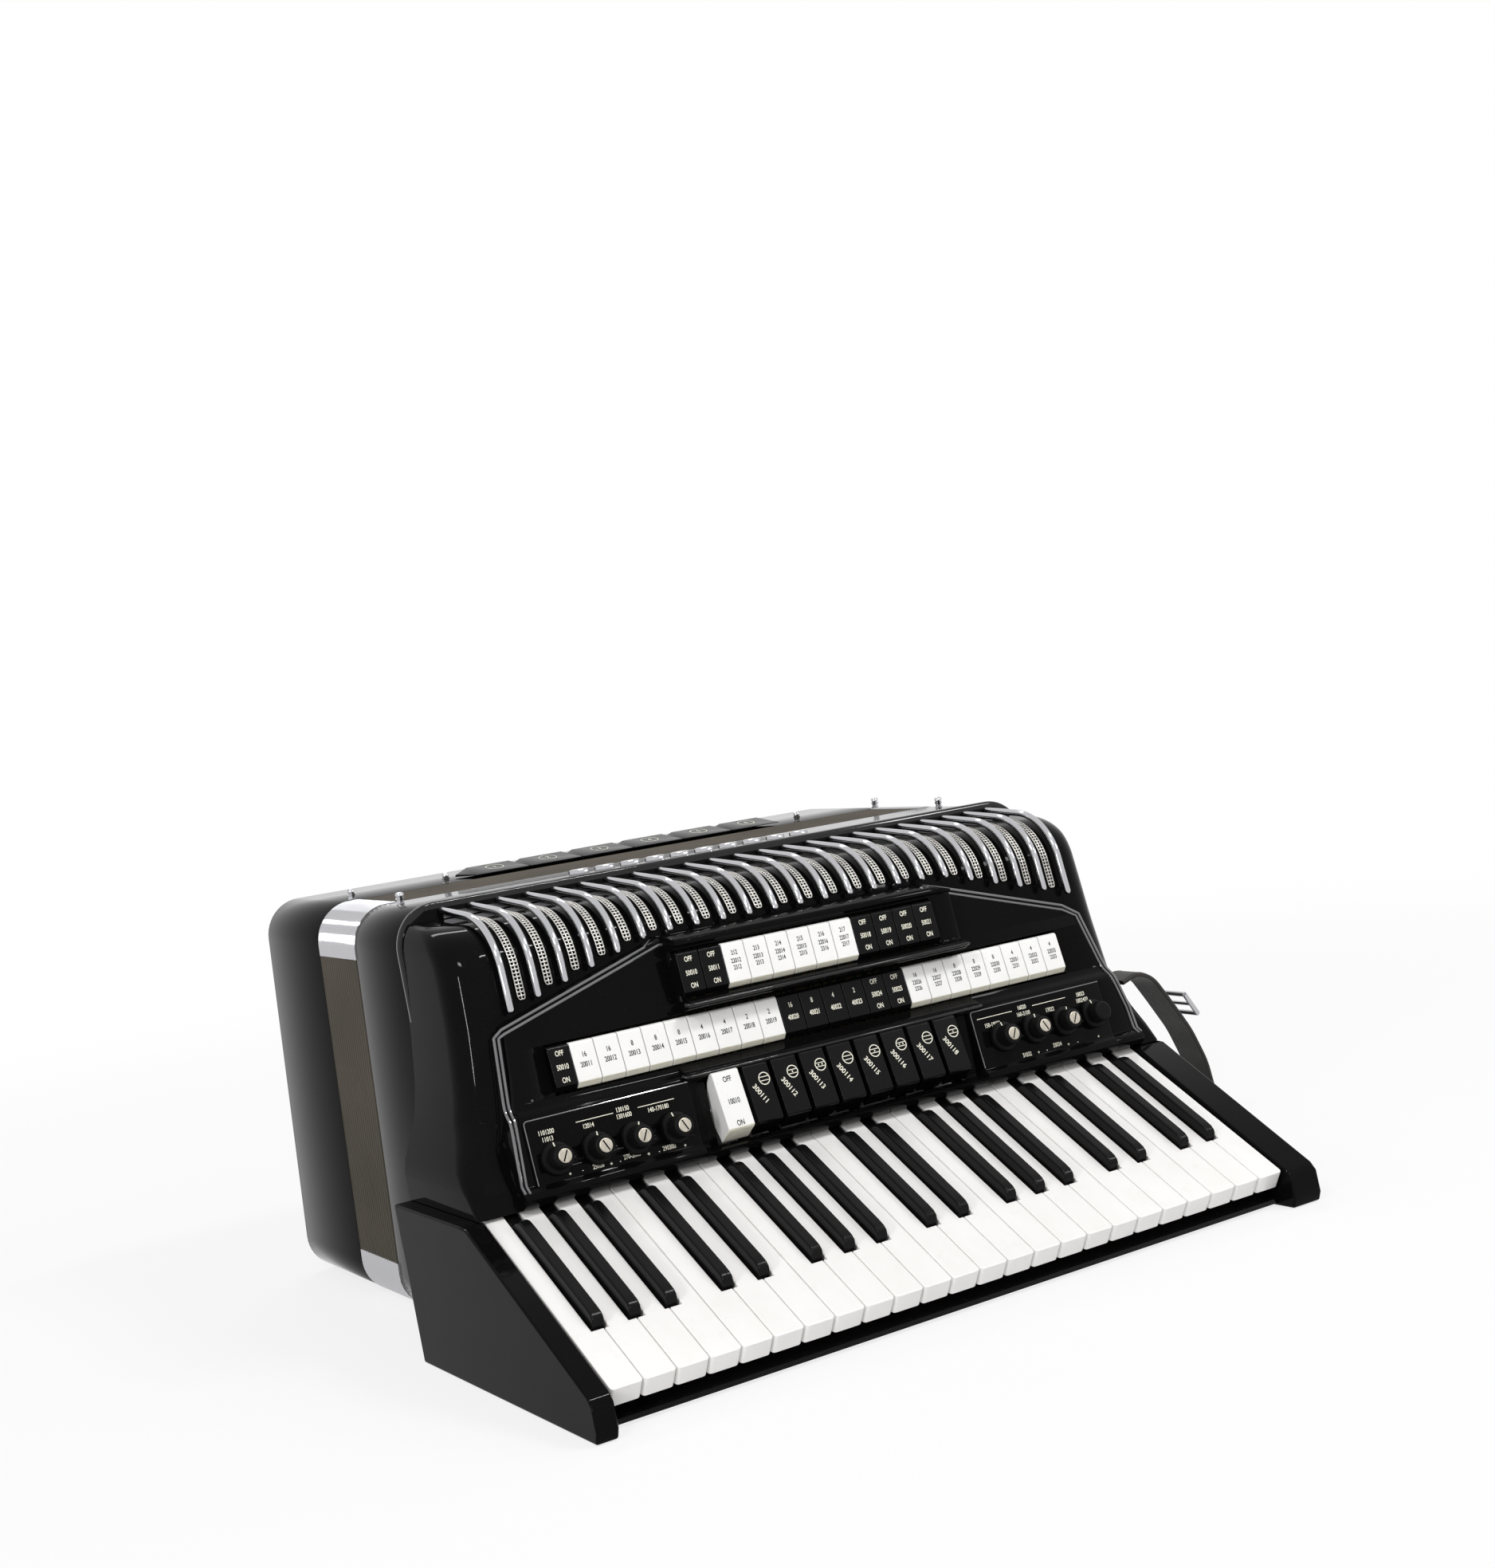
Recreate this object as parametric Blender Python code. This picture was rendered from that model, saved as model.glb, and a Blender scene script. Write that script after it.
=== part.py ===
# Electronic piano accordion, lying on its back as in the photo.
# Lengths here are millimetres, measured from the low end of the line where the
# white keys meet the cover: x along the keyboard, y to the bass side, z to the front.
# Piece.finish moves them to the part's origin and turns them into metres.
import bpy
import bmesh
from math import asin, atan, cos, pi, radians, sin, sqrt, tan
from mathutils import Vector

for old in list(bpy.data.objects):
    bpy.data.objects.remove(old)

MM = 0.001
GAP = 0.3

# Driving dimensions of the keyboard
PITCH = 19.7
WHITE_NAMES = ["F3", "G3", "A3", "B3"]
for octave in (4, 5):
    WHITE_NAMES += [letter + str(octave) for letter in "CDEFGAB"]
WHITE_NAMES += ["C6", "D6", "E6", "F6", "G6", "A6"]
KEYS_LONG = PITCH * len(WHITE_NAMES)
KEY_SLOPE = radians(28.0)
KEY_OUT = 136.0
KEY_THICK = 12.0
KEY_TAIL = -48.0
AXLE_S = -43.0
AXLE_RADIUS = 2.0
AXLE_N = -KEY_THICK - AXLE_RADIUS - GAP
KEY_DIP = radians(2.0)
BED_TOP = -19.5
BED_THICK = 4.0
BLACK_LONG = 93.0
BLACK_WIDE = 9.5
BLACK_HIGH = 9.5
BLACK_OFFSETS = {"F": -2.4, "G": 0.0, "A": 2.4, "C": -1.8, "D": 1.8}

# Driving dimensions of the body
BODY_LEFT = 20.0
BODY_RIGHT = KEYS_LONG + 16.2
BODY_MID = (BODY_LEFT + BODY_RIGHT) / 2
BACK_Z = -87.0
TOP_Z = 165.0
CORNER = 24.0
WALL = 6.0
SEAM_TOP_Y = 118.0
SEAM_LEAN = 0.15
CASING_END = 184.0
BELLOWS_END = 244.0
BASS_END = BELLOWS_END + 96.0
ORIGIN = Vector((BODY_MID, 150.0, BACK_Z))

# The cover: a base plane that bends over the shoulder, and a raised control panel
COVER_WALL = 3.0
BASE_Y = 41.0
BASE_Z = 110.0
BASE_LEAN = 0.24
LIP_Z = 3.4
TOP_SLOPE = 0.061
TOP_Y = 110.5
COVER_TOP_Z = 157.6
BEND = 35.3
BAR_RISE = 4.7


def on_keys(s, n):
    """y and z of a point s along a key towards its tip and n above its top."""
    return (-s * cos(KEY_SLOPE) - n * sin(KEY_SLOPE), -s * sin(KEY_SLOPE) + n * cos(KEY_SLOPE))


def seam_y(z):
    """y of the leaning joint between the cover and the casing."""
    return SEAM_TOP_Y - SEAM_LEAN * (TOP_Z - z)


def blend(z, table):
    """Value at z on a polyline of (z, value) points."""
    for (z0, v0), (z1, v1) in zip(table, table[1:]):
        if z <= z1:
            break
    part = max(0.0, (z - z0) / (z1 - z0))
    return v0 + (v1 - v0) * min(part, 1.0)


class Piece:
    """Collects closed solids that overlap and joins them into one named object."""

    def __init__(self, name):
        self.name = name
        self.solids = []

    def add(self, verts, faces):
        self.solids.append(([Vector(v) for v in verts], faces))

    def loft(self, loops, closed_ends=True):
        """Joins equal closed loops in turn and caps both ends."""
        count = len(loops[0])
        verts = [v for loop in loops for v in loop]
        faces = []
        for row in range(len(loops) - 1):
            for i in range(count):
                j = (i + 1) % count
                a = row * count
                b = a + count
                faces.append([a + i, a + j, b + j, b + i])
        if closed_ends:
            faces.append(list(range(count)))
            faces.append([(len(loops) - 1) * count + i for i in range(count)])
        else:
            last = (len(loops) - 1) * count
            for i in range(count):
                j = (i + 1) % count
                faces.append([last + i, last + j, j, i])
        self.add(verts, faces)

    def prism(self, outline, x0, x1):
        """A (y, z) outline carried along x."""
        self.loft([[(x, y, z) for y, z in outline] for x in (x0, x1)])

    def plate(self, outline, y0, y1):
        """An (x, z) outline carried along y."""
        self.loft([[(x, y, z) for x, z in outline] for y in (y0, y1)])

    def box(self, x0, x1, y0, y1, z0, z1):
        self.prism([(y0, z0), (y1, z0), (y1, z1), (y0, z1)], x0, x1)

    def rod(self, x0, x1, y, z, radius, sides=12):
        ring = [(y + radius * cos(2 * pi * i / sides), z + radius * sin(2 * pi * i / sides)) for i in range(sides)]
        self.prism(ring, x0, x1)

    def peg(self, base, along, levels, sides=12):
        """A turned solid on an axis: levels are (distance, radius) pairs."""
        along = Vector(along).normalized()
        side = along.orthogonal().normalized()
        other = along.cross(side)
        loops = []
        for far, radius in levels:
            centre = Vector(base) + along * far
            turn = [2 * pi * i / sides for i in range(sides)]
            loops.append([centre + (side * cos(a) + other * sin(a)) * radius for a in turn])
        self.loft(loops)

    def mesh_of(self, solid, name, origin, smooth):
        verts, faces = solid
        mesh = bpy.data.meshes.new(name)
        mesh.from_pydata([(v - origin) * MM for v in verts], [], faces)
        build = bmesh.new()
        build.from_mesh(mesh)
        bmesh.ops.recalc_face_normals(build, faces=build.faces)
        build.to_mesh(mesh)
        build.free()
        if smooth:
            mesh.shade_smooth()
            mesh.set_sharp_from_angle(angle=radians(35))
        return mesh

    def finish(self, colour, rough=0.4, metal=0.0, origin=None, smooth=True, bevel=0.0, segments=1):
        origin = Vector(origin) if origin is not None else ORIGIN.copy()
        place = (origin - ORIGIN) * MM
        obj = bpy.data.objects.new(self.name, self.mesh_of(self.solids[0], self.name, origin, smooth))
        bpy.context.scene.collection.objects.link(obj)
        obj.location = place
        material = bpy.data.materials.new(self.name)
        material.use_nodes = True
        shader = material.node_tree.nodes["Principled BSDF"]
        shader.inputs["Base Color"].default_value = (*colour, 1.0)
        shader.inputs["Roughness"].default_value = rough
        shader.inputs["Metallic"].default_value = metal
        obj.data.materials.append(material)
        if len(self.solids) > 1:
            group = bpy.data.collections.new(self.name + "_joined")
            bpy.context.scene.collection.children.link(group)
            for number, solid in enumerate(self.solids[1:]):
                name = self.name + "_with_" + str(number)
                extra = bpy.data.objects.new(name, self.mesh_of(solid, name, origin, smooth))
                extra.location = place
                extra.data.materials.append(material)
                extra.hide_render = True
                extra.display_type = "WIRE"
                group.objects.link(extra)
            join = obj.modifiers.new("join", "BOOLEAN")
            join.operand_type = "COLLECTION"
            join.collection = group
            join.operation = "UNION"
            join.solver = "EXACT"
        if bevel:
            edge = obj.modifiers.new("edges", "BEVEL")
            edge.width = bevel * MM
            edge.segments = segments
            edge.limit_method = "ANGLE"
            edge.angle_limit = radians(40)
        return obj


def cut(obj, cutter):
    """Takes a hidden cutter out of an object."""
    cutter.hide_render = True
    cutter.display_type = "WIRE"
    step = obj.modifiers.new("cut", "BOOLEAN")
    step.object = cutter
    step.operation = "DIFFERENCE"
    step.solver = "EXACT"


BLACK = (0.012, 0.012, 0.014)
IVORY = (0.86, 0.86, 0.84)
CHROME = (0.80, 0.80, 0.82)
WOOD = (0.35, 0.22, 0.12)


# White and black keys, each turning on the common axle under the cover
def black_centre(index):
    """x of the black key above white key `index`, or None."""
    letter = WHITE_NAMES[index][0]
    if letter not in BLACK_OFFSETS or index + 1 >= len(WHITE_NAMES):
        return None
    return (index + 1) * PITCH + BLACK_OFFSETS[letter]


BLACKS = {i: black_centre(i) for i in range(len(WHITE_NAMES)) if black_centre(i) is not None}
KEY_SIDE_GAP = 0.25
BLACK_SIDE_GAP = 0.7
AXLE_AT = on_keys(AXLE_S, AXLE_N)


def key_point(x, s, n):
    return (x, *on_keys(s, n))


def white_key(index):
    left = index * PITCH + KEY_SIDE_GAP
    right = (index + 1) * PITCH - KEY_SIDE_GAP
    reach = BLACK_WIDE / 2 + BLACK_SIDE_GAP
    tail_left = BLACKS[index - 1] + reach if index - 1 in BLACKS else left
    tail_right = BLACKS[index] - reach if index in BLACKS else right
    head = BLACK_LONG + 1.2
    plan = [(tail_left, KEY_TAIL), (tail_right, KEY_TAIL), (tail_right, head)]
    if tail_right < right:
        plan.append((right, head))
    plan += [(right, KEY_OUT - 2.0), (right - 2.0, KEY_OUT), (left + 2.0, KEY_OUT), (left, KEY_OUT - 2.0)]
    if tail_left > left:
        plan.append((left, head))
    plan.append((tail_left, head))
    key = Piece("key_" + WHITE_NAMES[index])
    key.loft([[key_point(x, s, n) for x, s in plan] for n in (-KEY_THICK, 0.0)])
    key.finish(IVORY, 0.25, origin=(0, *AXLE_AT))


def black_key(index, centre):
    name = WHITE_NAMES[index]
    half = BLACK_WIDE / 2
    top = half - 0.9
    side = [(KEY_TAIL, -1.0), (2.5, -1.0), (9.0, BLACK_HIGH), (BLACK_LONG - 6.0, BLACK_HIGH)]
    side += [(BLACK_LONG - 2.0, BLACK_HIGH - 2.5), (BLACK_LONG, BLACK_HIGH - 7.0), (BLACK_LONG, -KEY_THICK + 1)]
    side.append((KEY_TAIL, -KEY_THICK + 1))
    loops = []
    for sign in (-1, 1):
        loops.append([key_point(centre + sign * (top if n > 0 else half), s, n) for s, n in side])
    key = Piece("key_" + name[0] + "s" + name[1])
    key.loft(loops)
    key.finish(BLACK, 0.2, origin=(0, *AXLE_AT), bevel=0.8)


for number in range(len(WHITE_NAMES)):
    white_key(number)
for number, middle in BLACKS.items():
    black_key(number, middle)


# The treble cover: rows of an outline from the lip to the seam, each a U round the ends
LOW_EDGES = [(LIP_Z, -3.6), (24.0, -3.4), (44.0, 7.5), (66.0, 13.0), (100.0, 17.0), (130.0, 18.5), (141.0, 19.0)]
HIGH_EDGES = [
    (LIP_Z, KEYS_LONG + 23.7), (42.0, KEYS_LONG + 20.7), (86.0, KEYS_LONG + 17.7),
    (119.0, KEYS_LONG + 17.2), (141.0, KEYS_LONG + 16.7),
]
TAB_PITCH = 15.75
REGISTER_PITCH = 20.1
UPPER_TABS = 12
UPPER_FROM = 150.2
UPPER_END = UPPER_FROM + TAB_PITCH * UPPER_TABS
MIDDLE_FROM = 60.0
MIDDLE_FIRST = 14.3
LOWER_FROM = 154.0
LOWER_FIRST = 19.6
PANEL_LEFT = [
    (LIP_Z, 22.0), (54.0, 26.0), (95.5, 31.0), (99.5, 37.0),
    (130.0, UPPER_FROM - 2.2), (200.0, UPPER_FROM - 2.2),
]
PANEL_RIGHT = [
    (LIP_Z, KEYS_LONG + 6.2), (30.0, KEYS_LONG + 3.2), (93.0, KEYS_LONG - 10.8),
    (100.7, KEYS_LONG - 22.8), (130.0, UPPER_END + 8.8), (200.0, UPPER_END + 8.8),
]
END_CORNERS = [(LIP_Z, 4.0), (14.5, 8.0), (25.0, 13.0), (50.0, 22.0)]
FOOT_Z = 50.0
PANEL_TOP = 130.0
CORNER_STEPS = 4


def shoulder(z):
    """How far the rounded shoulder pulls the end face in at height z."""
    rise = z - (TOP_Z - CORNER)
    if rise <= 0:
        return 0.0
    return CORNER - sqrt(max(CORNER ** 2 - rise ** 2, 0.0))


def cover_left(z):
    return blend(z, LOW_EDGES) + shoulder(z)


def cover_right(z):
    return blend(z, HIGH_EDGES) - shoulder(z)


def base_y(z):
    return BASE_Y + BASE_LEAN * (z - BASE_Z)


def front_y(z):
    """The cover's front beside the panel: the base plane, drawn forward over the keys."""
    foot = [(LIP_Z, 1.6), (14.5, 8.0), (25.0, 15.0), (FOOT_Z, base_y(FOOT_Z))]
    return blend(z, foot) if z < FOOT_Z else base_y(z)


# Corner of the base plane and the top, and the arc that rounds it
BEND_Z = (COVER_TOP_Z - TOP_SLOPE * (TOP_Y - BASE_Y + BASE_LEAN * BASE_Z)) / (1 - TOP_SLOPE * BASE_LEAN)
BEND_AT = Vector((base_y(BEND_Z), BEND_Z))
UP_RUN = Vector((BASE_LEAN, 1.0)).normalized()
TOP_RUN = Vector((1.0, TOP_SLOPE)).normalized()
BEND_TURN = UP_RUN.angle(TOP_RUN)
BEND_REACH = tan(BEND_TURN / 2)


def bend_path(lift, low_z, rear_y, steps=6):
    """(y, z) points from low_z over the shoulder to rear_y, `lift` outside the cover."""
    lean = atan(BASE_LEAN)
    start = BEND_AT - UP_RUN * BEND * BEND_REACH
    centre = start + Vector((cos(lean), -sin(lean))) * BEND
    radius = BEND + lift
    begin = asin(min((low_z - centre.y) / radius, 1.0)) - lean
    turns = [BEND_TURN * i / steps for i in range(steps + 1)]
    if begin > 0:
        turns = [begin + (BEND_TURN - begin) * i / (steps + 1) for i in range(steps + 2)]
    points = [centre + Vector((-cos(lean + turn), sin(lean + turn))) * radius for turn in turns]
    if begin <= 0:
        points.insert(0, points[0] + UP_RUN * ((low_z - points[0].y) / UP_RUN.y))
    last = points[-1]
    points.append(last + TOP_RUN * ((rear_y - last.x) / TOP_RUN.x))
    return points


# Rows of the control panel: (y, z), from the lip above the keys to the top ledge
PANEL_ROWS = [
    (1.0, LIP_Z), (-3.6, 6.0), (-5.5, 9.5), (-4.4, 12.5), (-1.5, 14.5), (1.31, 25.0), (8.0, 50.0),
    (6.8, 52.0), (8.0, 54.5), (17.0, 57.5), (25.6, 86.5), (13.4, 89.5), (11.8, 92.0),
    (13.2, 94.0), (19.2, 95.0), (25.6, 124.5), (22.8, 126.5), (23.4, PANEL_TOP - 1.0), (25.0, PANEL_TOP),
]
PANEL_WALL_RUN = 0.6
LEDGE_UNDER = [(PANEL_TOP - 10.0, PANEL_TOP - 10.0), (PANEL_TOP, PANEL_TOP - COVER_WALL)]


def cover_loop(y_panel, y_base, z, inset):
    """One U of the cover at height z, from seam to seam."""
    left = cover_left(z) + inset
    right = cover_right(z) - inset
    corner = blend(z, END_CORNERS) - inset
    seam = seam_y(z) - GAP
    front = y_base
    corner = min(corner, max(seam - front - 1.0, 0.5))
    points = [(left, seam)]
    for i in range(CORNER_STEPS + 1):
        turn = pi / 2 * i / CORNER_STEPS
        points.append((left + corner * (1 - cos(turn)), front + corner * (1 - sin(turn))))
    steep = inset if z < 97.0 else inset * 3.75
    wall_left = blend(z, PANEL_LEFT) + steep
    wall_right = blend(z, PANEL_RIGHT) - steep
    points.append((max(wall_left, left + corner + 0.2), y_base))
    points.append((max(wall_left, left + corner + 0.2) + PANEL_WALL_RUN, y_panel))
    points.append((min(wall_right, right - corner - 0.2) - PANEL_WALL_RUN, y_panel))
    points.append((min(wall_right, right - corner - 0.2), y_base))
    for i in range(CORNER_STEPS + 1):
        turn = pi / 2 * (1 - i / CORNER_STEPS)
        points.append((right - corner * (1 - cos(turn)), front + corner * (1 - sin(turn))))
    points.append((right, seam))
    return [(x, y, z) for x, y in points]


def cover_shell(piece):
    outer = []
    inner = []
    thick = COVER_WALL
    for y, z in PANEL_ROWS:
        outer.append(cover_loop(y, front_y(z), z, 0.0))
        z_in = blend(z, LEDGE_UNDER) if z > LEDGE_UNDER[0][0] else z
        inner.append(cover_loop(y + thick, front_y(z_in) + thick, z_in, thick))
    path = bend_path(0.0, PANEL_TOP + 1.2, TOP_Y)
    under = bend_path(-thick, PANEL_TOP + 1.2 - thick, TOP_Y)
    for (y, z), (y_in, z_in) in zip(path, under):
        outer.append(cover_loop(y, y, z, 0.0))
        inner.append(cover_loop(y_in, y_in, z_in, thick))
    for y, z in ((TOP_Y + 2.0, TOP_Z - 1.2), (SEAM_TOP_Y - 1.6, TOP_Z - 0.6)):
        outer.append(cover_loop(y, y, z, 0.0))
        inner.append(cover_loop(y, y, z - thick, thick))
    verts = [v for loop in outer + inner for v in loop]
    wide = len(outer[0])
    rows = len(outer)
    faces = []

    def at(side, row, column):
        return (side * rows + row) * wide + column

    for row in range(rows - 1):
        for column in range(wide - 1):
            for side in (0, 1):
                quad = [at(side, row, column), at(side, row, column + 1)]
                quad += [at(side, row + 1, column + 1), at(side, row + 1, column)]
                faces.append(quad)
        for column in (0, wide - 1):
            faces.append([at(0, row, column), at(0, row + 1, column), at(1, row + 1, column), at(1, row, column)])
    for row in (0, rows - 1):
        for column in range(wide - 1):
            quad = [at(0, row, column), at(0, row, column + 1), at(1, row, column + 1), at(1, row, column)]
            faces.append(quad)
    piece.add(verts, faces)


# Rocker rows: bottom edge, top edge, axle depth, and the tabs' x edges
class Row:
    def __init__(self, name, low, high, edges):
        self.name = name
        self.low = Vector(low)
        self.up = (Vector(high) - self.low).normalized()
        self.long = (Vector(high) - self.low).length
        self.out = Vector((-self.up.y, self.up.x))
        self.edges = edges
        self.axle = self.at(self.long / 2, -AXLE_DEPTH)

    def at(self, u, v):
        return self.low + self.up * u + self.out * v


AXLE_DEPTH = 12.0
TAB_AXLE = 1.8
SHAFT_OVER = 5.0
TAB_GAP = 0.45
MIDDLE_TABS = 23
REGISTERS = 8
upper_edges = [UPPER_FROM + TAB_PITCH * i for i in range(UPPER_TABS + 1)]
middle_start = MIDDLE_FROM + MIDDLE_FIRST
middle_edges = [MIDDLE_FROM] + [middle_start + TAB_PITCH * i for i in range(MIDDLE_TABS + 1)]
lower_start = LOWER_FROM + LOWER_FIRST
lower_edges = [LOWER_FROM] + [lower_start + REGISTER_PITCH * i for i in range(REGISTERS + 1)]
ROWS = [
    Row("upper_tabs", (16.4, 97.3), (22.5, 122.0), upper_edges),
    Row("middle_tabs", (15.65, 60.6), (22.9, 84.4), middle_edges),
    Row("lower_tabs", (-4.3, 16.0), (5.4, 51.0), lower_edges),
]


def tab_outline(row):
    """Side view of a rocker: dished face, lips, and a foot on the shaft."""
    tall = row.long
    points = [(-0.8, -2.6), (0.0, 0.0), (tall, 0.0), (tall + 0.8, -2.6)]
    points += [(tall - 3.0, -8.0), (tall / 2 + 3.0, -AXLE_DEPTH), (tall / 2 - 3.0, -AXLE_DEPTH), (3.0, -8.0)]
    return [tuple(row.at(u, v)) for u, v in points]


for row in ROWS:
    tabs = Piece(row.name)
    tabs.rod(row.edges[0] - SHAFT_OVER, row.edges[-1] + SHAFT_OVER, *row.axle, TAB_AXLE, 6)
    for x0, x1 in zip(row.edges, row.edges[1:]):
        tabs.prism(tab_outline(row), x0 + TAB_GAP / 2, x1 - TAB_GAP / 2)
    pale = row.name != "lower_tabs"
    tabs.finish(IVORY if pale else BLACK, 0.3, origin=(BODY_MID, *row.axle))

cover = Piece("treble_cover")
cover_shell(cover)
SLOT_SIDE = 0.5
SLOT_DEEP = 7.5
HOLD_THICK = 3.0
for row in ROWS:
    for x in (row.edges[0] - SHAFT_OVER - GAP - HOLD_THICK, row.edges[-1] + SHAFT_OVER + GAP):
        hold = [row.at(u, v) for u, v in ((8, -4.0), (row.long - 8, -4.0), (row.long - 8, -15), (8, -15))]
        cover.prism([tuple(p) for p in hold], x, x + HOLD_THICK)


# Raised bead round the seam, in the leaning plane of the joint
def seam_loop(grow, y_shift):
    """Half ring round the casing's outline, open at the bottom."""
    points = []
    radius = CORNER + grow
    left = BODY_LEFT + CORNER
    right = BODY_RIGHT - CORNER
    high = TOP_Z - CORNER
    points.append((left - radius, LIP_Z))
    for i in range(5):
        turn = pi / 2 * i / 4
        points.append((left - radius * cos(turn), high + radius * sin(turn)))
    for i in range(5):
        turn = pi / 2 * (1 - i / 4)
        points.append((right + radius * cos(turn), high + radius * sin(turn)))
    points.append((right + radius, LIP_Z))
    return [(x, seam_y(z) + y_shift, z) for x, z in points]


BEAD_HIGH = 3.0
BEAD_WIDE = 5.0
BEAD_BACK = -0.5
bead = [seam_loop(-2.0, -BEAD_WIDE), seam_loop(-2.0, BEAD_BACK)]
bead += [seam_loop(BEAD_HIGH, BEAD_BACK - 0.8), seam_loop(BEAD_HIGH, 1.0 - BEAD_WIDE)]
cover.loft([[line[i] for line in bead] for i in range(len(bead[0]))])
cover_obj = cover.finish(BLACK, 0.12)

slots = Piece("slot_cutter")
for row in ROWS:
    corners = ((-2.2, 3.0), (row.long + 2.2, 3.0), (row.long + 2.2, -SLOT_DEEP), (-2.2, -SLOT_DEEP))
    outline = [tuple(row.at(u, v)) for u, v in corners]
    slots.prism(outline, row.edges[0] - SLOT_SIDE, row.edges[-1] + SLOT_SIDE)

# Rotary knobs on the two sub-panels, each on its own shaft
KNOBS_LEFT = (46.7, 72.4, 97.4, 123.7)
KNOBS_RIGHT = (KEYS_LONG - 106.0, KEYS_LONG - 80.4, KEYS_LONG - 55.7, KEYS_LONG - 30.8)
KNOBS = [("knob_left", KNOBS_LEFT, 27.0), ("knob_right", KNOBS_RIGHT, 31.0)]
KNOB_RADIUS = 9.5
KNOB_HIGH = 12.5
CAP_RADIUS = 4.2
SHAFT = 3.0
face_low = Vector(PANEL_ROWS[4])
face_up = (Vector(PANEL_ROWS[5]) - face_low).normalized()
face_out = Vector((0.0, -face_up.y, face_up.x))
for stem, centres, height in KNOBS:
    for number, x in enumerate(centres):
        foot = face_low + face_up * ((height - face_low.y) / face_up.y)
        base = Vector((x, *foot))
        knob = Piece(stem + "_" + str(number + 1))
        skirt = [(-14.0, SHAFT), (0.35, SHAFT), (0.36, KNOB_RADIUS), (4.0, KNOB_RADIUS - 0.4)]
        skirt += [(KNOB_HIGH - 0.8, KNOB_RADIUS - 1.4), (KNOB_HIGH, KNOB_RADIUS - 2.2)]
        skirt += [(KNOB_HIGH + 0.01, CAP_RADIUS), (KNOB_HIGH + 0.8, CAP_RADIUS)]
        knob.peg(base, face_out, skirt, 10)
        knob.finish(BLACK, 0.3, origin=base)
        slots.peg(base, face_out, [(-6.0, SHAFT + 0.4), (3.0, SHAFT + 0.4)], 12)
cut(cover_obj, slots.finish(BLACK, smooth=False))
slots_obj = bpy.data.objects["slot_cutter"]

# Chrome bars bent over the shoulder, with a perforated strip between each two
BAR_COUNT = 23
BAR_FIRST = 47.7
BAR_PITCH = 18.8
BAR_RADIUS = 2.2
BAR_SIDES = 5
BAR_LOW = 107.8
BAR_STEP = 5.1
BAR_HIGH_LOW = 134.3
BAR_REAR = 110.5
STRIP_WIDE = 7.0
STRIP_THICK = 0.9


def bar_low(index):
    return min(BAR_HIGH_LOW, BAR_LOW + BAR_STEP * min(index, BAR_COUNT - 1 - index))


grille = Piece("treble_grille")


def frames(path):
    """Outward direction at each point of a (y, z) path."""
    result = []
    for i, point in enumerate(path):
        before = path[max(i - 1, 0)]
        after = path[min(i + 1, len(path) - 1)]
        run = (after - before).normalized()
        result.append(Vector((-run.y, run.x)))
    return result


for index in range(BAR_COUNT):
    x = BAR_FIRST + BAR_PITCH * index
    path = bend_path(BAR_RISE, bar_low(index), BAR_REAR, 4)
    foot_low = path[0] - frames(path)[0] * (BAR_RISE - GAP)
    loops = []
    for point, out in zip(path, frames(path)):
        ring = []
        for i in range(BAR_SIDES):
            turn = 2 * pi * (i + 0.5) / BAR_SIDES
            spot = point + out * BAR_RADIUS * sin(turn)
            ring.append((x + BAR_RADIUS * cos(turn), spot.x, spot.y))
        loops.append(ring)
    grille.loft(loops)
    out = frames(path)[0]
    start = foot_low + Vector((out.y, -out.x)) * 2.6
    grille.peg((x, *start), (0.0, out.x, out.y), [(0.0, 1.5), (BAR_RISE - GAP, 1.5)], 4)
for index in range(BAR_COUNT - 1):
    x = BAR_FIRST + BAR_PITCH * (index + 0.5)
    low = (bar_low(index) + bar_low(index + 1)) / 2 + 1.0
    under = bend_path(GAP, low, BAR_REAR)
    over = bend_path(GAP + STRIP_THICK, low, BAR_REAR)
    loops = []
    for a, b in zip(under, over):
        loops.append([(x + side * STRIP_WIDE / 2, p.x, p.y) for side, p in ((-1, a), (1, a), (1, b), (-1, b))])
    grille.loft(loops)
rail = bend_path(GAP + 0.2, BAR_LOW, BAR_REAR - 0.8)[-1]
rail_out = Vector((-TOP_RUN.y, TOP_RUN.x))
corners = [rail, rail - TOP_RUN * 3.0, rail - TOP_RUN * 3.0 + rail_out * 3.4, rail + rail_out * 3.4]
grille.prism([tuple(p) for p in corners], BAR_FIRST - 1.0, BAR_FIRST + BAR_PITCH * (BAR_COUNT - 1) + 1.0)
grille.finish(CHROME, 0.15, 1.0)


# Casing rings: a rounded rectangle in x and z
def ring_outline(inset, steps=4):
    points = []
    left = BODY_LEFT + CORNER
    right = BODY_RIGHT - CORNER
    low = BACK_Z + CORNER
    high = TOP_Z - CORNER
    radius = CORNER - inset
    for cx, cz, first in ((right, high, 0), (left, high, 1), (left, low, 2), (right, low, 3)):
        for i in range(steps + 1):
            turn = pi / 2 * (first + i / steps)
            points.append((cx + radius * cos(turn), cz + radius * sin(turn)))
    return points


def tube(piece, front, back):
    """A casing wall between two y faces; `front` may lean."""
    outside = ring_outline(0.0)
    inside = ring_outline(WALL)
    loops = []
    for outline, face in ((outside, front), (outside, back), (inside, back), (inside, front)):
        loops.append([(x, face(z), z) for x, z in outline])
    piece.loft(loops, closed_ends=False)


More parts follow.
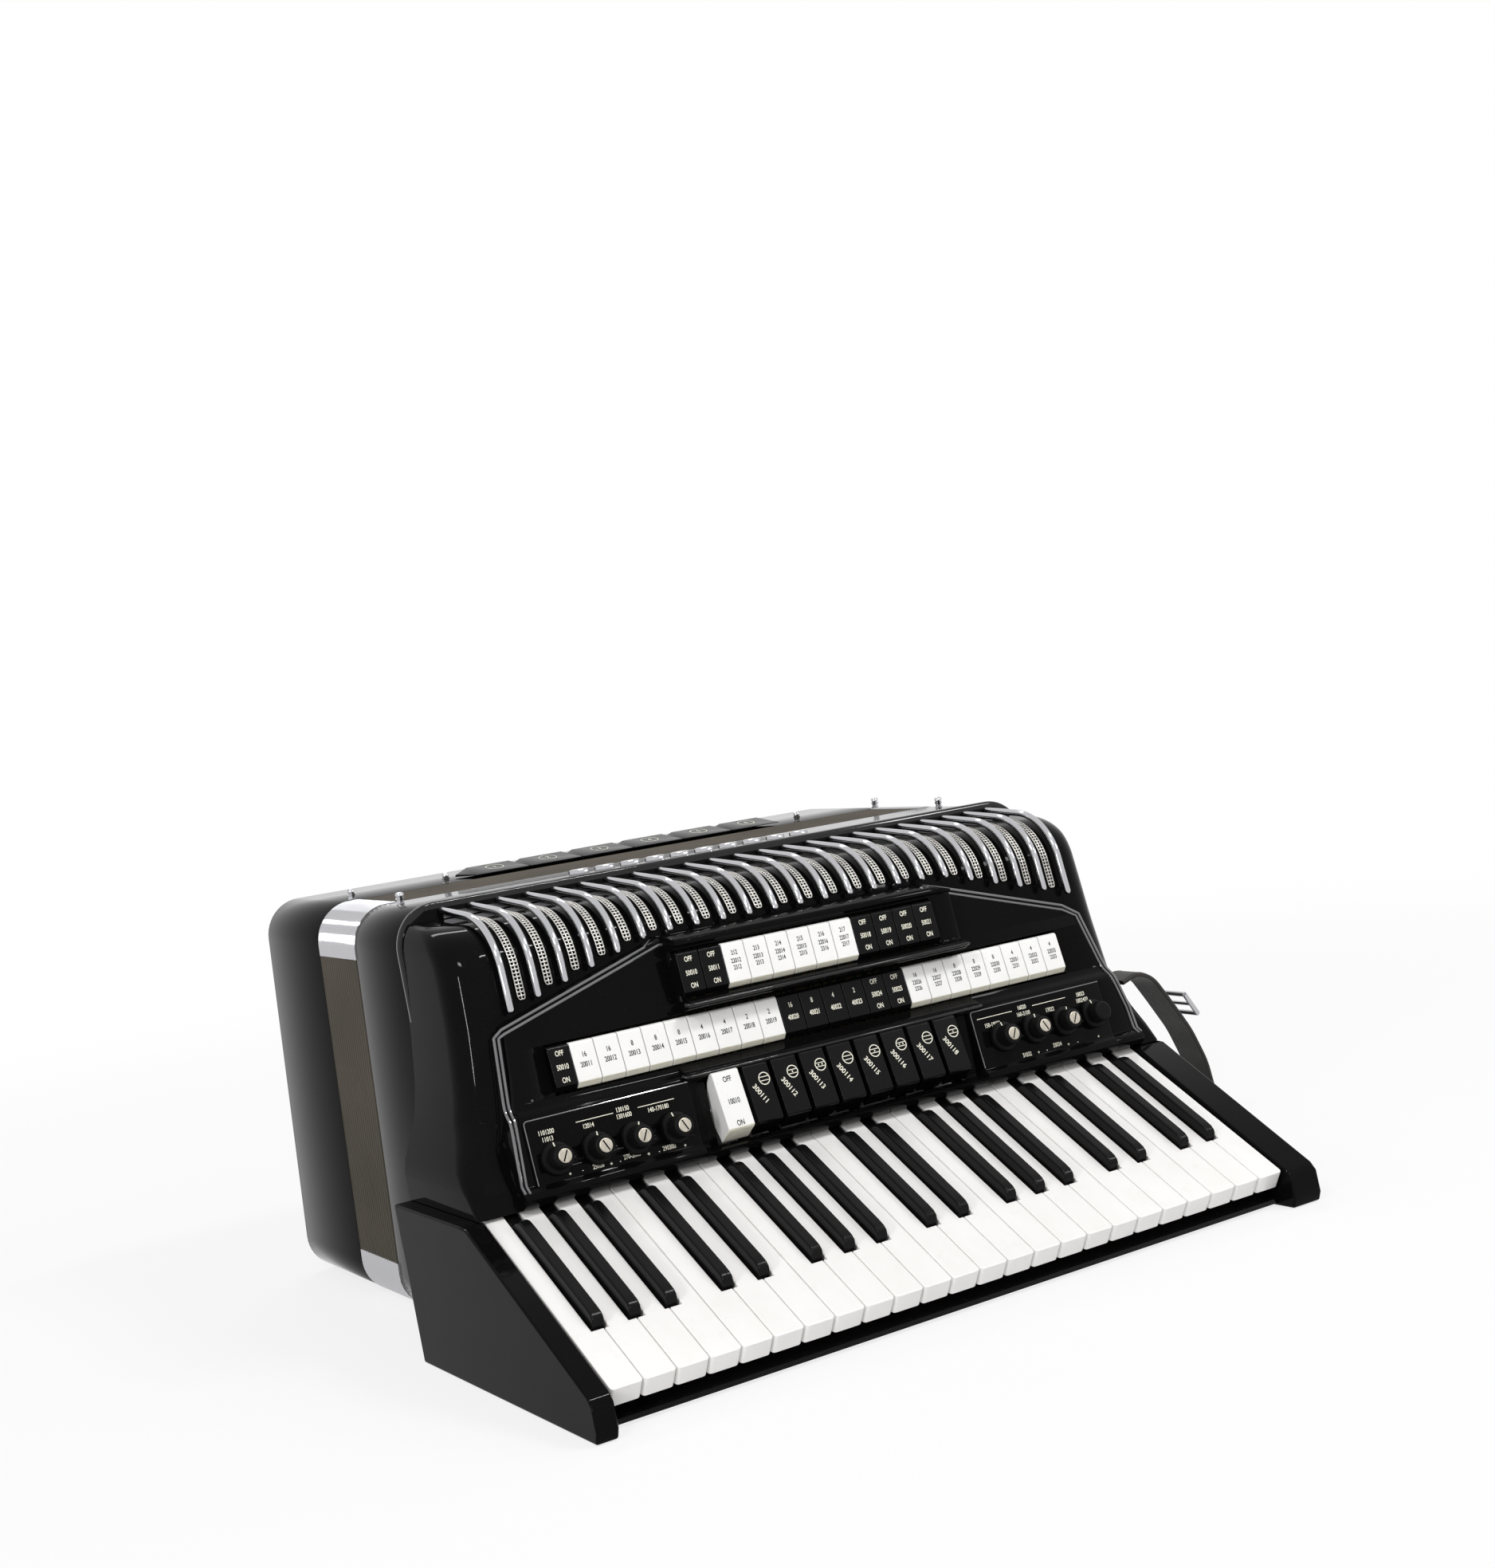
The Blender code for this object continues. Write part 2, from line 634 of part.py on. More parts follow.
casing = Piece("treble_casing")
tube(casing, seam_y, lambda z: CASING_END)
inner_gap = WALL + GAP
BOARD_Y = 122.0
BOARD_THICK = 6.0
INTO = 1.0
casing.plate(ring_outline(WALL - INTO), BOARD_Y, BOARD_Y + BOARD_THICK)
REED_BLOCKS = 4
REED_HIGH = 52.0
REED_FOOT = 34.0
for number in range(REED_BLOCKS):
    z = BACK_Z + 45.0 + 54.0 * number
    y0 = BOARD_Y + BOARD_THICK - INTO
    outline = [(y0, z - REED_FOOT / 2), (y0 + REED_HIGH, z - 9.0), (y0 + REED_HIGH, z + 9.0), (y0, z + REED_FOOT / 2)]
    casing.prism(outline, BODY_LEFT + 40.0, BODY_RIGHT - 40.0)

# Keyboard bed, cheeks, axle and the floor below the keys
CHEEK_LEFT = (-14.0, -1.0)
CHEEK_RIGHT = (KEYS_LONG + 1.2, KEYS_LONG + 24.2)
CHEEK_TOP = LIP_Z - 0.4
BED_END = 138.0
BED_START = -56.0
bed = [on_keys(s, n) for s, n in ((BED_START, BED_TOP), (BED_END, BED_TOP))]
bed += [on_keys(s, n) for s, n in ((BED_END, BED_TOP - BED_THICK), (BED_START, BED_TOP - BED_THICK))]
BED_LEFT = -0.2
casing.prism(bed, BED_LEFT, CHEEK_RIGHT[0] + INTO)
tip_y, tip_z = on_keys(BED_END + 2.5, 1.5)
cheek_rear = seam_y(BACK_Z) - GAP
cheek = [(tip_y, BACK_Z), (tip_y - 2.0, BACK_Z + 6.0), (tip_y, tip_z - 3.0), (tip_y + 4.0, tip_z + 1.5)]
cheek += [on_keys(0.0, 2.6), (8.0, CHEEK_TOP), (seam_y(CHEEK_TOP) - GAP, CHEEK_TOP), (cheek_rear, BACK_Z)]
for x0, x1 in (CHEEK_LEFT, CHEEK_RIGHT):
    casing.prism(cheek, x0, x1)
floor_start = tip_y + 16.0
FLOOR_LOW = BACK_Z + 0.5
FLOOR_TOP = BACK_Z + 4.5
casing.box(CHEEK_LEFT[1] - INTO, CHEEK_RIGHT[0] + INTO, floor_start, cheek_rear + 8.0, FLOOR_LOW, FLOOR_TOP)
casing.rod(BED_LEFT, CHEEK_RIGHT[0] + INTO, *AXLE_AT, AXLE_RADIUS, 10)
for share in (0.02, 0.25, 0.5, 0.75, 0.98):
    x = KEYS_LONG * share
    post = [on_keys(s, n) for s, n in ((AXLE_S - 4, BED_TOP - INTO), (AXLE_S + 4, BED_TOP - INTO))]
    post += [on_keys(s, AXLE_N - 0.8) for s in (AXLE_S + 1.2, AXLE_S - 1.2)]
    casing.prism(post, x - 4.0, x + 4.0)
stay_low = FLOOR_TOP - INTO
for share in (0.25, 0.5, 0.75):
    x = KEYS_LONG * share
    foot_y, foot_z = on_keys(BED_START + 6.0, BED_TOP - BED_THICK + INTO)
    lower_y, lower_z = on_keys(60.0, BED_TOP - BED_THICK + INTO)
    casing.prism([(foot_y, foot_z), (lower_y, lower_z), (lower_y, stay_low), (foot_y, stay_low)], x - 5.0, x + 5.0)

# Electronics board behind the control panel, on posts from the pallet board
CIRCUIT_Y = 66.0
CIRCUIT_THICK = 2.0
CIRCUIT_LOW = 38.0
CIRCUIT_HIGH = 84.0
circuit_top = CIRCUIT_LOW + CIRCUIT_HIGH
circuit_back = CIRCUIT_Y + CIRCUIT_THICK
casing.box(BODY_LEFT + 50.0, BODY_RIGHT - 59.0, CIRCUIT_Y, circuit_back, CIRCUIT_LOW, circuit_top)
for x in (BODY_LEFT + 64.0, BODY_MID - 4.5, BODY_RIGHT - 73.0):
    for z in (CIRCUIT_LOW + 10.0, circuit_top - 10.0):
        casing.peg((x, circuit_back - 0.5, z), (0, 1, 0), [(0, 3.0), (BOARD_Y + INTO - circuit_back + 0.5, 3.0)], 8)

# Chrome bellows pins stand on the casing's front; they are turned pegs
PIN_LEVELS = [(-INTO, 2.6), (1.2, 2.6), (1.3, 1.5), (6.0, 1.5), (6.1, 2.6), (7.6, 2.0)]
for x in (BODY_LEFT + 26.0, BODY_RIGHT - 26.0):
    casing.peg((x, CASING_END - 18.0, TOP_Z), (0, 0, 1), PIN_LEVELS, 8)
casing.finish(BLACK, 0.15)

# Bellows: a folded wall, each pleat a ridge and a valley
PLEATS = 18
FOLD = 13.0
FOLD_WALL = 6.0
bellows = Piece("bellows")
rows_out = []
rows_in = []
FIRST_FOLD = CASING_END + GAP
LAST_FOLD = BELLOWS_END - GAP
for step in range(2 * PLEATS + 1):
    y = FIRST_FOLD + (LAST_FOLD - FIRST_FOLD) * step / (2 * PLEATS)
    deep = FOLD if step % 2 == 1 else 0.0
    rows_out.append([(x, y, z) for x, z in ring_outline(deep, 2)])
    rows_in.append([(x, y, z) for x, z in ring_outline(deep + FOLD_WALL, 2)])
bellows.loft(rows_out + rows_in[::-1], closed_ends=False)
bellows.finish((0.02, 0.02, 0.02), 0.6, origin=(BODY_MID, FIRST_FOLD, BACK_Z), smooth=False)

# Bass casing: wall, end plates, button board, hand strap, reed blocks
HAND_TOP = 60.0
BOARD_FACE = BASS_END - 22.0
PLATE = 5.0
BUTTON_ROWS = 6
BUTTON_COLUMNS = 20
BUTTON_PITCH = 15.6
ROW_PITCH = 13.0
BUTTON_RADIUS = 4.2
BUTTON_OUT = 7.0
BUTTON_TRAVEL = 4.0
ROW_SHIFT = 3.6
BUTTON_LOW = 78.0
BUTTON_X = BODY_MID - BUTTON_PITCH * (BUTTON_COLUMNS - 1) / 2 - ROW_SHIFT * (BUTTON_ROWS - 1) / 2
bass = Piece("bass_casing")
tube(bass, lambda z: BELLOWS_END, lambda z: BASS_END if z < HAND_TOP + 2 else BASS_END - 6.0)
inside = ring_outline(WALL - INTO)
hand = [(x, z) for x, z in inside if z < HAND_TOP]
hand = [(BODY_LEFT + WALL - INTO, HAND_TOP)] + hand + [(BODY_RIGHT - WALL + INTO, HAND_TOP)]
bass.plate(hand, BASS_END - PLATE - 0.5, BASS_END - 0.5)
SHELF = (HAND_TOP - PLATE, HAND_TOP - 0.5)
bass.box(BODY_LEFT + WALL - INTO, BODY_RIGHT - WALL + INTO, BOARD_FACE - 4.0, BASS_END - PLATE + INTO, *SHELF)
slit = BUTTON_RADIUS + 0.4
bars = [HAND_TOP - PLATE + 1.0]
for number in range(BUTTON_ROWS):
    centre = BUTTON_LOW + ROW_PITCH * number
    bars += [centre - slit, centre + slit]
bars.append(TOP_Z - WALL + INTO)
for low, high in zip(bars[0::2], bars[1::2]):
    inset = shoulder(high) if high > TOP_Z - CORNER else 0.0
    side = WALL - INTO + (WALL if inset else 0.0)
    bass.box(BODY_LEFT + side, BODY_RIGHT - side, BOARD_FACE - 3.6, BOARD_FACE - 0.4, low, high)
BOARD_SIDE = 40.0
for x0 in (BODY_LEFT + WALL - INTO, BODY_RIGHT - WALL + INTO - BOARD_SIDE):
    bass.box(x0, x0 + BOARD_SIDE, BOARD_FACE - 5.0, BOARD_FACE, HAND_TOP - 2.0, TOP_Z - CORNER)
BASS_BLOCKS = 3
bass_board_y = BELLOWS_END + 30.0
bass.plate(inside, bass_board_y, bass_board_y + BOARD_THICK)
for number in range(BASS_BLOCKS):
    z = BACK_Z + 60.0 + 66.0 * number
    y1 = bass_board_y + INTO
    outline = [(y1, z - 20.0), (y1 - 46.0, z - 10.0), (y1 - 46.0, z + 10.0), (y1, z + 20.0)]
    bass.prism(outline, BODY_LEFT + 50.0, BODY_RIGHT - 50.0)
BASS_TABS = 6
BASS_TAB_PITCH = 40.5
BASS_TAB_X = 136.0
last_tab = BASS_TAB_X + BASS_TAB_PITCH * BASS_TABS
for x in (BODY_LEFT + 29.0, BODY_RIGHT - 21.0):
    bass.peg((x, BELLOWS_END + 6.0, TOP_Z), (0, 0, 1), PIN_LEVELS, 8)
for x in (BASS_TAB_X - 21.0, last_tab + 17.0):
    bass.peg((x, BELLOWS_END + 4.0, TOP_Z), (0, 0, 1), PIN_LEVELS, 8)

# Hand strap arched over the hand side, on two end blocks
STRAP_HALF = 185.0
STRAP_WIDE = 58.0
STRAP_MID_Z = -10.0
STRAP_THICK = 3.0
STRAP_RISE = 24.0
STRAP_STEPS = 14
strap_path = []
for step in range(STRAP_STEPS + 1):
    share = 2 * step / STRAP_STEPS - 1
    lift = STRAP_RISE * (1 - abs(share) ** 4) - 2.0
    strap_path.append((BODY_MID + STRAP_HALF * share, BASS_END + lift))
loops = []
for x, y in strap_path:
    low = STRAP_MID_Z - STRAP_WIDE / 2
    high = STRAP_MID_Z + STRAP_WIDE / 2
    loops.append([(x, y, low), (x, y + STRAP_THICK, low), (x, y + STRAP_THICK, high), (x, y, high)])
bass.loft(loops)
bass.finish(BLACK, 0.15)

buttons = Piece("bass_buttons")
CARRIER_DEEP = -16.0
carrier_x = (BUTTON_X - 8.0, BUTTON_X + BUTTON_PITCH * (BUTTON_COLUMNS - 1) + ROW_SHIFT * (BUTTON_ROWS - 1) + 8.0)
carrier_z = (BUTTON_LOW - 8.0, BUTTON_LOW + ROW_PITCH * (BUTTON_ROWS - 1) + 8.0)
buttons.box(*carrier_x, BOARD_FACE + CARRIER_DEEP, BOARD_FACE + CARRIER_DEEP + 2.5, *carrier_z)
for number in range(BUTTON_ROWS):
    z = BUTTON_LOW + ROW_PITCH * number
    for column in range(BUTTON_COLUMNS):
        x = BUTTON_X + BUTTON_PITCH * column + ROW_SHIFT * number
        levels = [(CARRIER_DEEP + 1.0, BUTTON_RADIUS), (BUTTON_OUT, BUTTON_RADIUS)]
        buttons.peg((x, BOARD_FACE, z), (0, 1, 0), levels, 6)
buttons.finish(IVORY, 0.3, origin=(BODY_MID, BOARD_FACE, BUTTON_LOW))

# Bass register tabs on the front of the bass casing
BASS_TAB_NEAR = BELLOWS_END + 2.0
BASS_TAB_DEEP = 26.0
BASS_TAB_LOW = 3.0
BASS_TAB_HIGH = 6.2
BASS_TAB_BEVEL = 14.0
tab_axle = (BASS_TAB_NEAR + BASS_TAB_DEEP, TOP_Z + GAP + 1.0)
registers = Piece("bass_tabs")
registers.rod(BASS_TAB_X - 2.0, last_tab + 2.0, tab_axle[0] - 1.5, tab_axle[1] + 0.4, 1.0, 6)
for number in range(BASS_TABS):
    x0 = BASS_TAB_X + BASS_TAB_PITCH * number + 0.5
    tab_end = BASS_TAB_NEAR + BASS_TAB_DEEP
    loops = []
    for x, rise in ((x0, 3.2), (x0 + BASS_TAB_BEVEL, BASS_TAB_HIGH), (x0 + BASS_TAB_PITCH - 1.0, BASS_TAB_HIGH)):
        outline = [(BASS_TAB_NEAR, TOP_Z + 1.9), (BASS_TAB_NEAR, TOP_Z + BASS_TAB_LOW)]
        outline += [(tab_end - 2.0, TOP_Z + rise), (tab_end, TOP_Z + rise - 0.8), (tab_end, TOP_Z + GAP)]
        loops.append([(x, y, z) for y, z in outline])
    registers.loft(loops)
registers.finish(BLACK, 0.3, origin=(BODY_MID, *tab_axle))

# Shoulder strap and its buckle, lying beside the high end of the casing
STRAP_FROM = cover_right(41.0)
STRAP_RUN = [(GAP + 0.3, 40.0), (14.4, 44.0), (27.4, 38.5), (39.4, 22.0), (56.4, -3.0), (67.4, -27.0)]
STRAP_RUN += [(72.4, -52.0), (78.4, -72.0), (88.4, -82.0), (106.4, -85.0)]
STRAP_PATH = [(STRAP_FROM + x, z) for x, z in STRAP_RUN]
STRAP_Y = (28.0, 52.0)
straps = Piece("shoulder_straps")
loops = []
points = [Vector(p) for p in STRAP_PATH]
for i, point in enumerate(points):
    run = (points[min(i + 1, len(points) - 1)] - points[max(i - 1, 0)]).normalized()
    out = Vector((run.y, -run.x)) * 1.4
    ring = []
    for y, side in ((STRAP_Y[0], -1), (STRAP_Y[1], -1), (STRAP_Y[1], 1), (STRAP_Y[0], 1)):
        spot = point + out * side
        ring.append((spot.x, y, spot.y))
    loops.append(ring)
straps.loft(loops)
straps.finish((0.02, 0.02, 0.02), 0.5)
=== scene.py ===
# Electronic piano accordion lying on its back, bellows shut.
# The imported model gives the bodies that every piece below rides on.
from math import asin, atan, cos, pi, radians, sin, sqrt, tan

import bmesh
import bpy
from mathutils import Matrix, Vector


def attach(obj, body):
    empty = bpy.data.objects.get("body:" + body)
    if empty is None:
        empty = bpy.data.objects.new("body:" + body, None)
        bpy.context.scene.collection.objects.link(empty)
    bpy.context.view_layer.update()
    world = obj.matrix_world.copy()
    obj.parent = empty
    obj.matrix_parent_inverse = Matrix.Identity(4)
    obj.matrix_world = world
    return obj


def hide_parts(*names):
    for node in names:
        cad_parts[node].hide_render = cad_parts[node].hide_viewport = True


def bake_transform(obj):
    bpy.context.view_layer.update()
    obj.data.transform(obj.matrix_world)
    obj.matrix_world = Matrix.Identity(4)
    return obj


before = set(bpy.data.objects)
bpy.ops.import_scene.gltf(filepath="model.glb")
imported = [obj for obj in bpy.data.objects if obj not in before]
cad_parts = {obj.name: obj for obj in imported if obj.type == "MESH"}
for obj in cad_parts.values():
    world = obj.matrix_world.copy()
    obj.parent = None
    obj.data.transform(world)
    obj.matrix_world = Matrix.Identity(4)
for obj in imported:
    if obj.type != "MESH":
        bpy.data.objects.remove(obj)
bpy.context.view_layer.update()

# The camera stands where the photographer stood, in front of the low end of the keyboard
# and a little above the instrument.
lens = bpy.data.cameras.new("photographer")
lens.lens = 50.59
lens.sensor_width = 36.0
lens.clip_start = 0.05
lens.clip_end = 200.0
camera = bpy.data.objects.new("camera", lens)
bpy.context.scene.collection.objects.link(camera)
camera.location = (-0.74019, -1.23310, 0.37380)
camera.rotation_euler = (radians(86.7393), radians(7.2143), radians(-32.7642))
bpy.context.scene.camera = camera


# Materials: varying numbers are Levels, and each finish is one Principled material.
# Both are used by every piece from here on.
class Level:
    """A number that varies over a surface; arithmetic on it adds Math nodes."""

    def __init__(self, finish, socket):
        self.finish = finish
        self.socket = socket

    def worked(self, operation, first, second):
        return self.finish.level("ShaderNodeMath", {"operation": operation}, {0: first, 1: second})

    def __add__(self, other):
        return self.worked("ADD", self, other)

    __radd__ = __add__

    def __sub__(self, other):
        return self.worked("SUBTRACT", self, other)

    def __rsub__(self, other):
        return self.worked("SUBTRACT", other, self)

    def __mul__(self, other):
        return self.worked("MULTIPLY", self, other)

    __rmul__ = __mul__

    def __truediv__(self, other):
        return self.worked("DIVIDE", self, other)

    def __rtruediv__(self, other):
        return self.worked("DIVIDE", other, self)

    def between(self, low, high):
        """Rises smoothly from 0 at low to 1 at high."""
        settings = {"interpolation_type": "SMOOTHSTEP"}
        return self.finish.level("ShaderNodeMapRange", settings, {0: self, 1: low, 2: high})


class Finish:
    """A procedural material; constants sit on the shader's own sockets."""

    def __init__(self, name, constants):
        self.material = bpy.data.materials.new(name)
        self.material.use_nodes = True
        self.tree = self.material.node_tree
        self.shader = self.tree.nodes["Principled BSDF"]
        for socket, value in constants.items():
            self.shader.inputs[socket].default_value = value

    def feed(self, socket, value):
        if isinstance(value, Level):
            value = value.socket
        if isinstance(value, bpy.types.NodeSocket):
            self.tree.links.new(value, socket)
        else:
            socket.default_value = value

    def node(self, kind, settings=None, inputs=None):
        made = self.tree.nodes.new(kind)
        for key, value in (settings or {}).items():
            setattr(made, key, value)
        for key, value in (inputs or {}).items():
            self.feed(made.inputs[key], value)
        return made

    def level(self, kind, settings=None, inputs=None, output=0):
        return Level(self, self.node(kind, settings, inputs).outputs[output])

    def place(self, stretch=(1.0, 1.0, 1.0)):
        """The point on the piece, in metres, stretched along each axis."""
        point = self.node("ShaderNodeTexCoord").outputs["Object"]
        return self.node("ShaderNodeVectorMath", {"operation": "MULTIPLY"}, {0: point, 1: stretch}).outputs[0]

    def noise(self, scale, detail=2.0, stretch=(1.0, 1.0, 1.0)):
        inputs = {"Vector": self.place(stretch), "Scale": scale, "Detail": detail}
        return self.level("ShaderNodeTexNoise", None, inputs)

    def mixed(self, part, first, second):
        """Colour that passes from first to second as part rises."""
        return self.node("ShaderNodeMix", {"data_type": "RGBA"}, {0: part, 6: first, 7: second}).outputs[2]

    def coloured(self, colour):
        self.feed(self.shader.inputs["Base Color"], colour)
        return self

    def roughened(self, rough):
        self.feed(self.shader.inputs["Roughness"], rough)
        return self

    def raised(self, height, distance, strength=1.0):
        inputs = {"Height": height, "Distance": distance, "Strength": strength}
        bump = self.node("ShaderNodeBump", None, inputs)
        self.feed(self.shader.inputs["Normal"], bump.outputs[0])
        return self


def grey(value, warm=0.0):
    """A near-neutral colour, `warm` of it taken from the blue."""
    return (value, value * (1 - warm * 0.4), value * (1 - warm), 1.0)


# The studio: a pale floor that the instrument lies on, white all round, two soft boxes
# in front, a long one over the back, and two thin strips that draw lines in the gloss.
def studio_ray(finish):
    """1 for camera, glossy and transmission rays."""
    paths = finish.node("ShaderNodeLightPath").outputs
    seen = Level(finish, paths["Is Camera Ray"]) + Level(finish, paths["Is Glossy Ray"])
    seen = seen + Level(finish, paths["Is Transmission Ray"])
    return seen.between(0.0, 1.0)


floor_finish = Finish("studio_floor", {"Roughness": 0.9, "Specular IOR Level": 0.0})
pale = floor_finish.noise(3.0)
floor_finish.coloured(floor_finish.mixed(pale, grey(0.80), grey(0.84)))
glow = floor_finish.node("ShaderNodeEmission", None, {"Color": (1, 1, 1, 1), "Strength": 1.0})
away = floor_finish.level("ShaderNodeVectorMath", {"operation": "LENGTH"}, {0: floor_finish.place()}, 1)
lit = away.between(0.45, 1.7) * 0.20 + 0.80
mix = floor_finish.node("ShaderNodeMixShader", None, {0: studio_ray(floor_finish) * lit})
output = floor_finish.tree.nodes["Material Output"]
floor_finish.feed(mix.inputs[1], floor_finish.shader.outputs[0])
floor_finish.feed(mix.inputs[2], glow.outputs[0])
floor_finish.feed(output.inputs["Surface"], mix.outputs[0])
floor_mesh = bpy.data.meshes.new("studio_floor")
floor_mesh.from_pydata([(-40, -40, -0.0006), (40, -40, -0.0006), (40, 40, -0.0006), (-40, 40, -0.0006)], [], [(0, 1, 2, 3)])
floor_mesh.materials.append(floor_finish.material)
floor = bpy.data.objects.new("studio_floor", floor_mesh)
bpy.context.scene.collection.objects.link(floor)

world = bpy.data.worlds.new("studio")
world.use_nodes = True
bpy.context.scene.world = world


class Surround(Finish):
    """The same node tools, on the world's tree."""

    def __init__(self, tree):
        self.tree = tree


around = Surround(world.node_tree)
background = world.node_tree.nodes["Background"]
background.inputs["Color"].default_value = (1, 1, 1, 1)
around.feed(background.inputs["Strength"], 0.42 + studio_ray(around) * 0.58)

for name, spot, size, power in (
    ("box_left", (-1.35, -1.05, 1.45), (0.24, 0.18), 9.0),
    ("box_right", (1.35, -1.25, 1.20), (0.25, 0.20), 4.5),
    ("box_back", (0.10, 1.00, 1.60), (1.20, 0.12), 8.0),
    ("strip_left", (-2.10, -1.15, 0.62), (0.04, 0.55), 13.0),
    ("strip_over", (0.62, -1.05, 1.75), (0.60, 0.04), 15.0),
):
    lamp = bpy.data.lights.new(name, "AREA")
    lamp.shape = "RECTANGLE"
    lamp.size, lamp.size_y = size
    lamp.energy = power
    lamp_object = bpy.data.objects.new(name, lamp)
    lamp_object.location = spot
    lamp_object.rotation_mode = "QUATERNION"
    lamp_object.rotation_quaternion = (Vector((0, 0, 0.1)) - Vector(spot)).to_track_quat("-Z", "Y")
    bpy.context.scene.collection.objects.link(lamp_object)
bpy.context.scene.view_settings.view_transform = "Standard"

# The treble casing: a lacquered wooden box, rounded at the corners, that carries the
# pallet board, the reed blocks, the key bed and the cheeks at both ends of the keyboard.
MM = 0.001
LOW_END = Vector((-254.5, -150.0, 87.0))


class Shells:
    """Gathers the shells of one piece, in millimetres from the low end of the key line."""

    def __init__(self, *finishes):
        self.finishes = finishes
        self.verts = []
        self.faces = []
        self.tones = []
        self.tone = 0

    def add(self, verts, faces):
        start = len(self.verts)
        self.verts += [Vector(v) for v in verts]
        self.faces += [[start + i for i in face] for face in faces]
        self.tones += [self.tone] * len(faces)

    def loft(self, loops, ends="caps"):
        """Joins equal closed loops in turn; ends are caps, a ring back to the start, or open."""
        count = len(loops[0])
        rows = len(loops)
        faces = []
        for row in range(rows if ends == "ring" else rows - 1):
            for i in range(count):
                j = (i + 1) % count
                a = row * count
                b = (row + 1) % rows * count
                faces.append([a + i, a + j, b + j, b + i])
        if ends == "caps":
            faces.append(list(range(count)))
            faces.append([(rows - 1) * count + i for i in range(count)])
        self.add([v for loop in loops for v in loop], faces)

    def prism(self, outline, x0, x1):
        """A (y, z) outline carried along x."""
        self.loft([[(x, y, z) for y, z in outline] for x in (x0, x1)])

    def plate(self, outline, y0, y1):
        """An (x, z) outline carried along y."""
        self.loft([[(x, y, z) for x, z in outline] for y in (y0, y1)])

    def box(self, x0, x1, y0, y1, z0, z1):
        self.prism([(y0, z0), (y1, z0), (y1, z1), (y0, z1)], x0, x1)

    def rod(self, path, radius, sides=12, round_start=False):
        """A round bar along a path of points; its start can be domed."""
        loops = []
        side = None
        for i, point in enumerate(path):
            run = (path[min(i + 1, len(path) - 1)] - path[max(i - 1, 0)]).normalized()
            if side is None:
                side = Vector((1, 0, 0)) if abs(run.x) < 0.9 else Vector((0, 1, 0))
            side = (side - run * side.dot(run)).normalized()
            other = run.cross(side)
            ring = [2 * pi * j / sides for j in range(sides)]
            if not i and round_start:
                for back, part in ((0.95, 0.3), (0.8, 0.6), (0.45, 0.88)):
                    spot = point - run * radius * back
                    loops.append([spot + (side * cos(a) + other * sin(a)) * radius * part for a in ring])
            loops.append([point + (side * cos(a) + other * sin(a)) * radius for a in ring])
        self.loft(loops)

    def peg(self, base, along, levels, sides=24, ribs=None):
        """A turned solid: levels are (distance, radius) pairs; ribs give a level's radius ripple."""
        along = Vector(along).normalized()
        side = Vector((1, 0, 0)) if abs(along.x) < 0.9 else Vector((0, 1, 0))
        side = (side - along * side.dot(along)).normalized()
        other = along.cross(side)
        loops = []
        for number, (far, radius) in enumerate(levels):
            centre = Vector(base) + along * far
            ripple = ribs[number] if ribs else 0.0
            loop = []
            for i in range(sides):
                a = 2 * pi * i / sides
                r = radius + (ripple if i % 2 else -ripple)
                loop.append(centre + (side * cos(a) + other * sin(a)) * r)
            loops.append(loop)
        self.loft(loops)

    def made(self, name, body, slot=None, instead=(), ease=0.0, rings=2, crease=34, tidy=True):
        """Builds the object, rides it on its body and hides the imported parts it stands in for."""
        mesh = bpy.data.meshes.new(name)
        mesh.from_pydata([(v + LOW_END) * MM for v in self.verts], [], self.faces)
        for finish in self.finishes:
            mesh.materials.append(finish.material)
        mesh.polygons.foreach_set("material_index", self.tones)
        if tidy:
            work = bmesh.new()
            work.from_mesh(mesh)
            bmesh.ops.recalc_face_normals(work, faces=work.faces)
            work.to_mesh(mesh)
            work.free()
        mesh.shade_smooth()
        if not ease:
            mesh.set_sharp_from_angle(angle=radians(crease))
        made = bpy.data.objects.new(name, mesh)
        bpy.context.scene.collection.objects.link(made)
        if ease:
            step = made.modifiers.new("eased_edges", "BEVEL")
            step.width = ease * MM
            step.segments = rings
            step.limit_method = "ANGLE"
            step.angle_limit = radians(crease)
            step.harden_normals = True
        if body:
            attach(made, body)
        if instead:
            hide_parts(*instead)
        return made


celluloid = Finish("black_celluloid", {"Specular IOR Level": 0.045})
cloud = celluloid.noise(35.0, 3.0)
dust = celluloid.noise(2600.0, 1.0).between(0.74, 0.80)
hair = celluloid.noise(90.0, 2.0, (1.0, 14.0, 9.0)).between(0.70, 0.74)
tint = celluloid.mixed(cloud, (0.0022, 0.0022, 0.0025, 1), (0.0040, 0.0038, 0.0036, 1))
celluloid.coloured(celluloid.mixed(dust * 0.35, tint, grey(0.16)))
celluloid.roughened(0.045 + cloud * 0.03 + dust * 0.3 + hair * 0.09)
celluloid.raised(celluloid.noise(14.0, 1.0) + hair * 0.01, 0.0002, 0.2)

# The reed block wood and the circuit board are coloured far darker than their own colours. This is painted shade for
# the inside of the casing seen through the tab slots. Their grain and their tracks are their own.
wood = Finish("reed_block_wood", {"Roughness": 0.55})
grain = wood.noise(60.0, 3.0, (0.12, 1.0, 1.0))
wood.coloured(wood.mixed(grain, (0.045, 0.025, 0.012, 1), (0.085, 0.050, 0.026, 1)))
wood.raised(grain, 0.0003)

circuit = Finish("circuit_board", {"Roughness": 0.4})
track = circuit.noise(420.0, 0.0, (1.0, 1.0, 0.2)).between(0.50, 0.53)
circuit.coloured(circuit.mixed(track, (0.012, 0.035, 0.015, 1), (0.10, 0.075, 0.03, 1)))
circuit.raised(track, 0.0001)

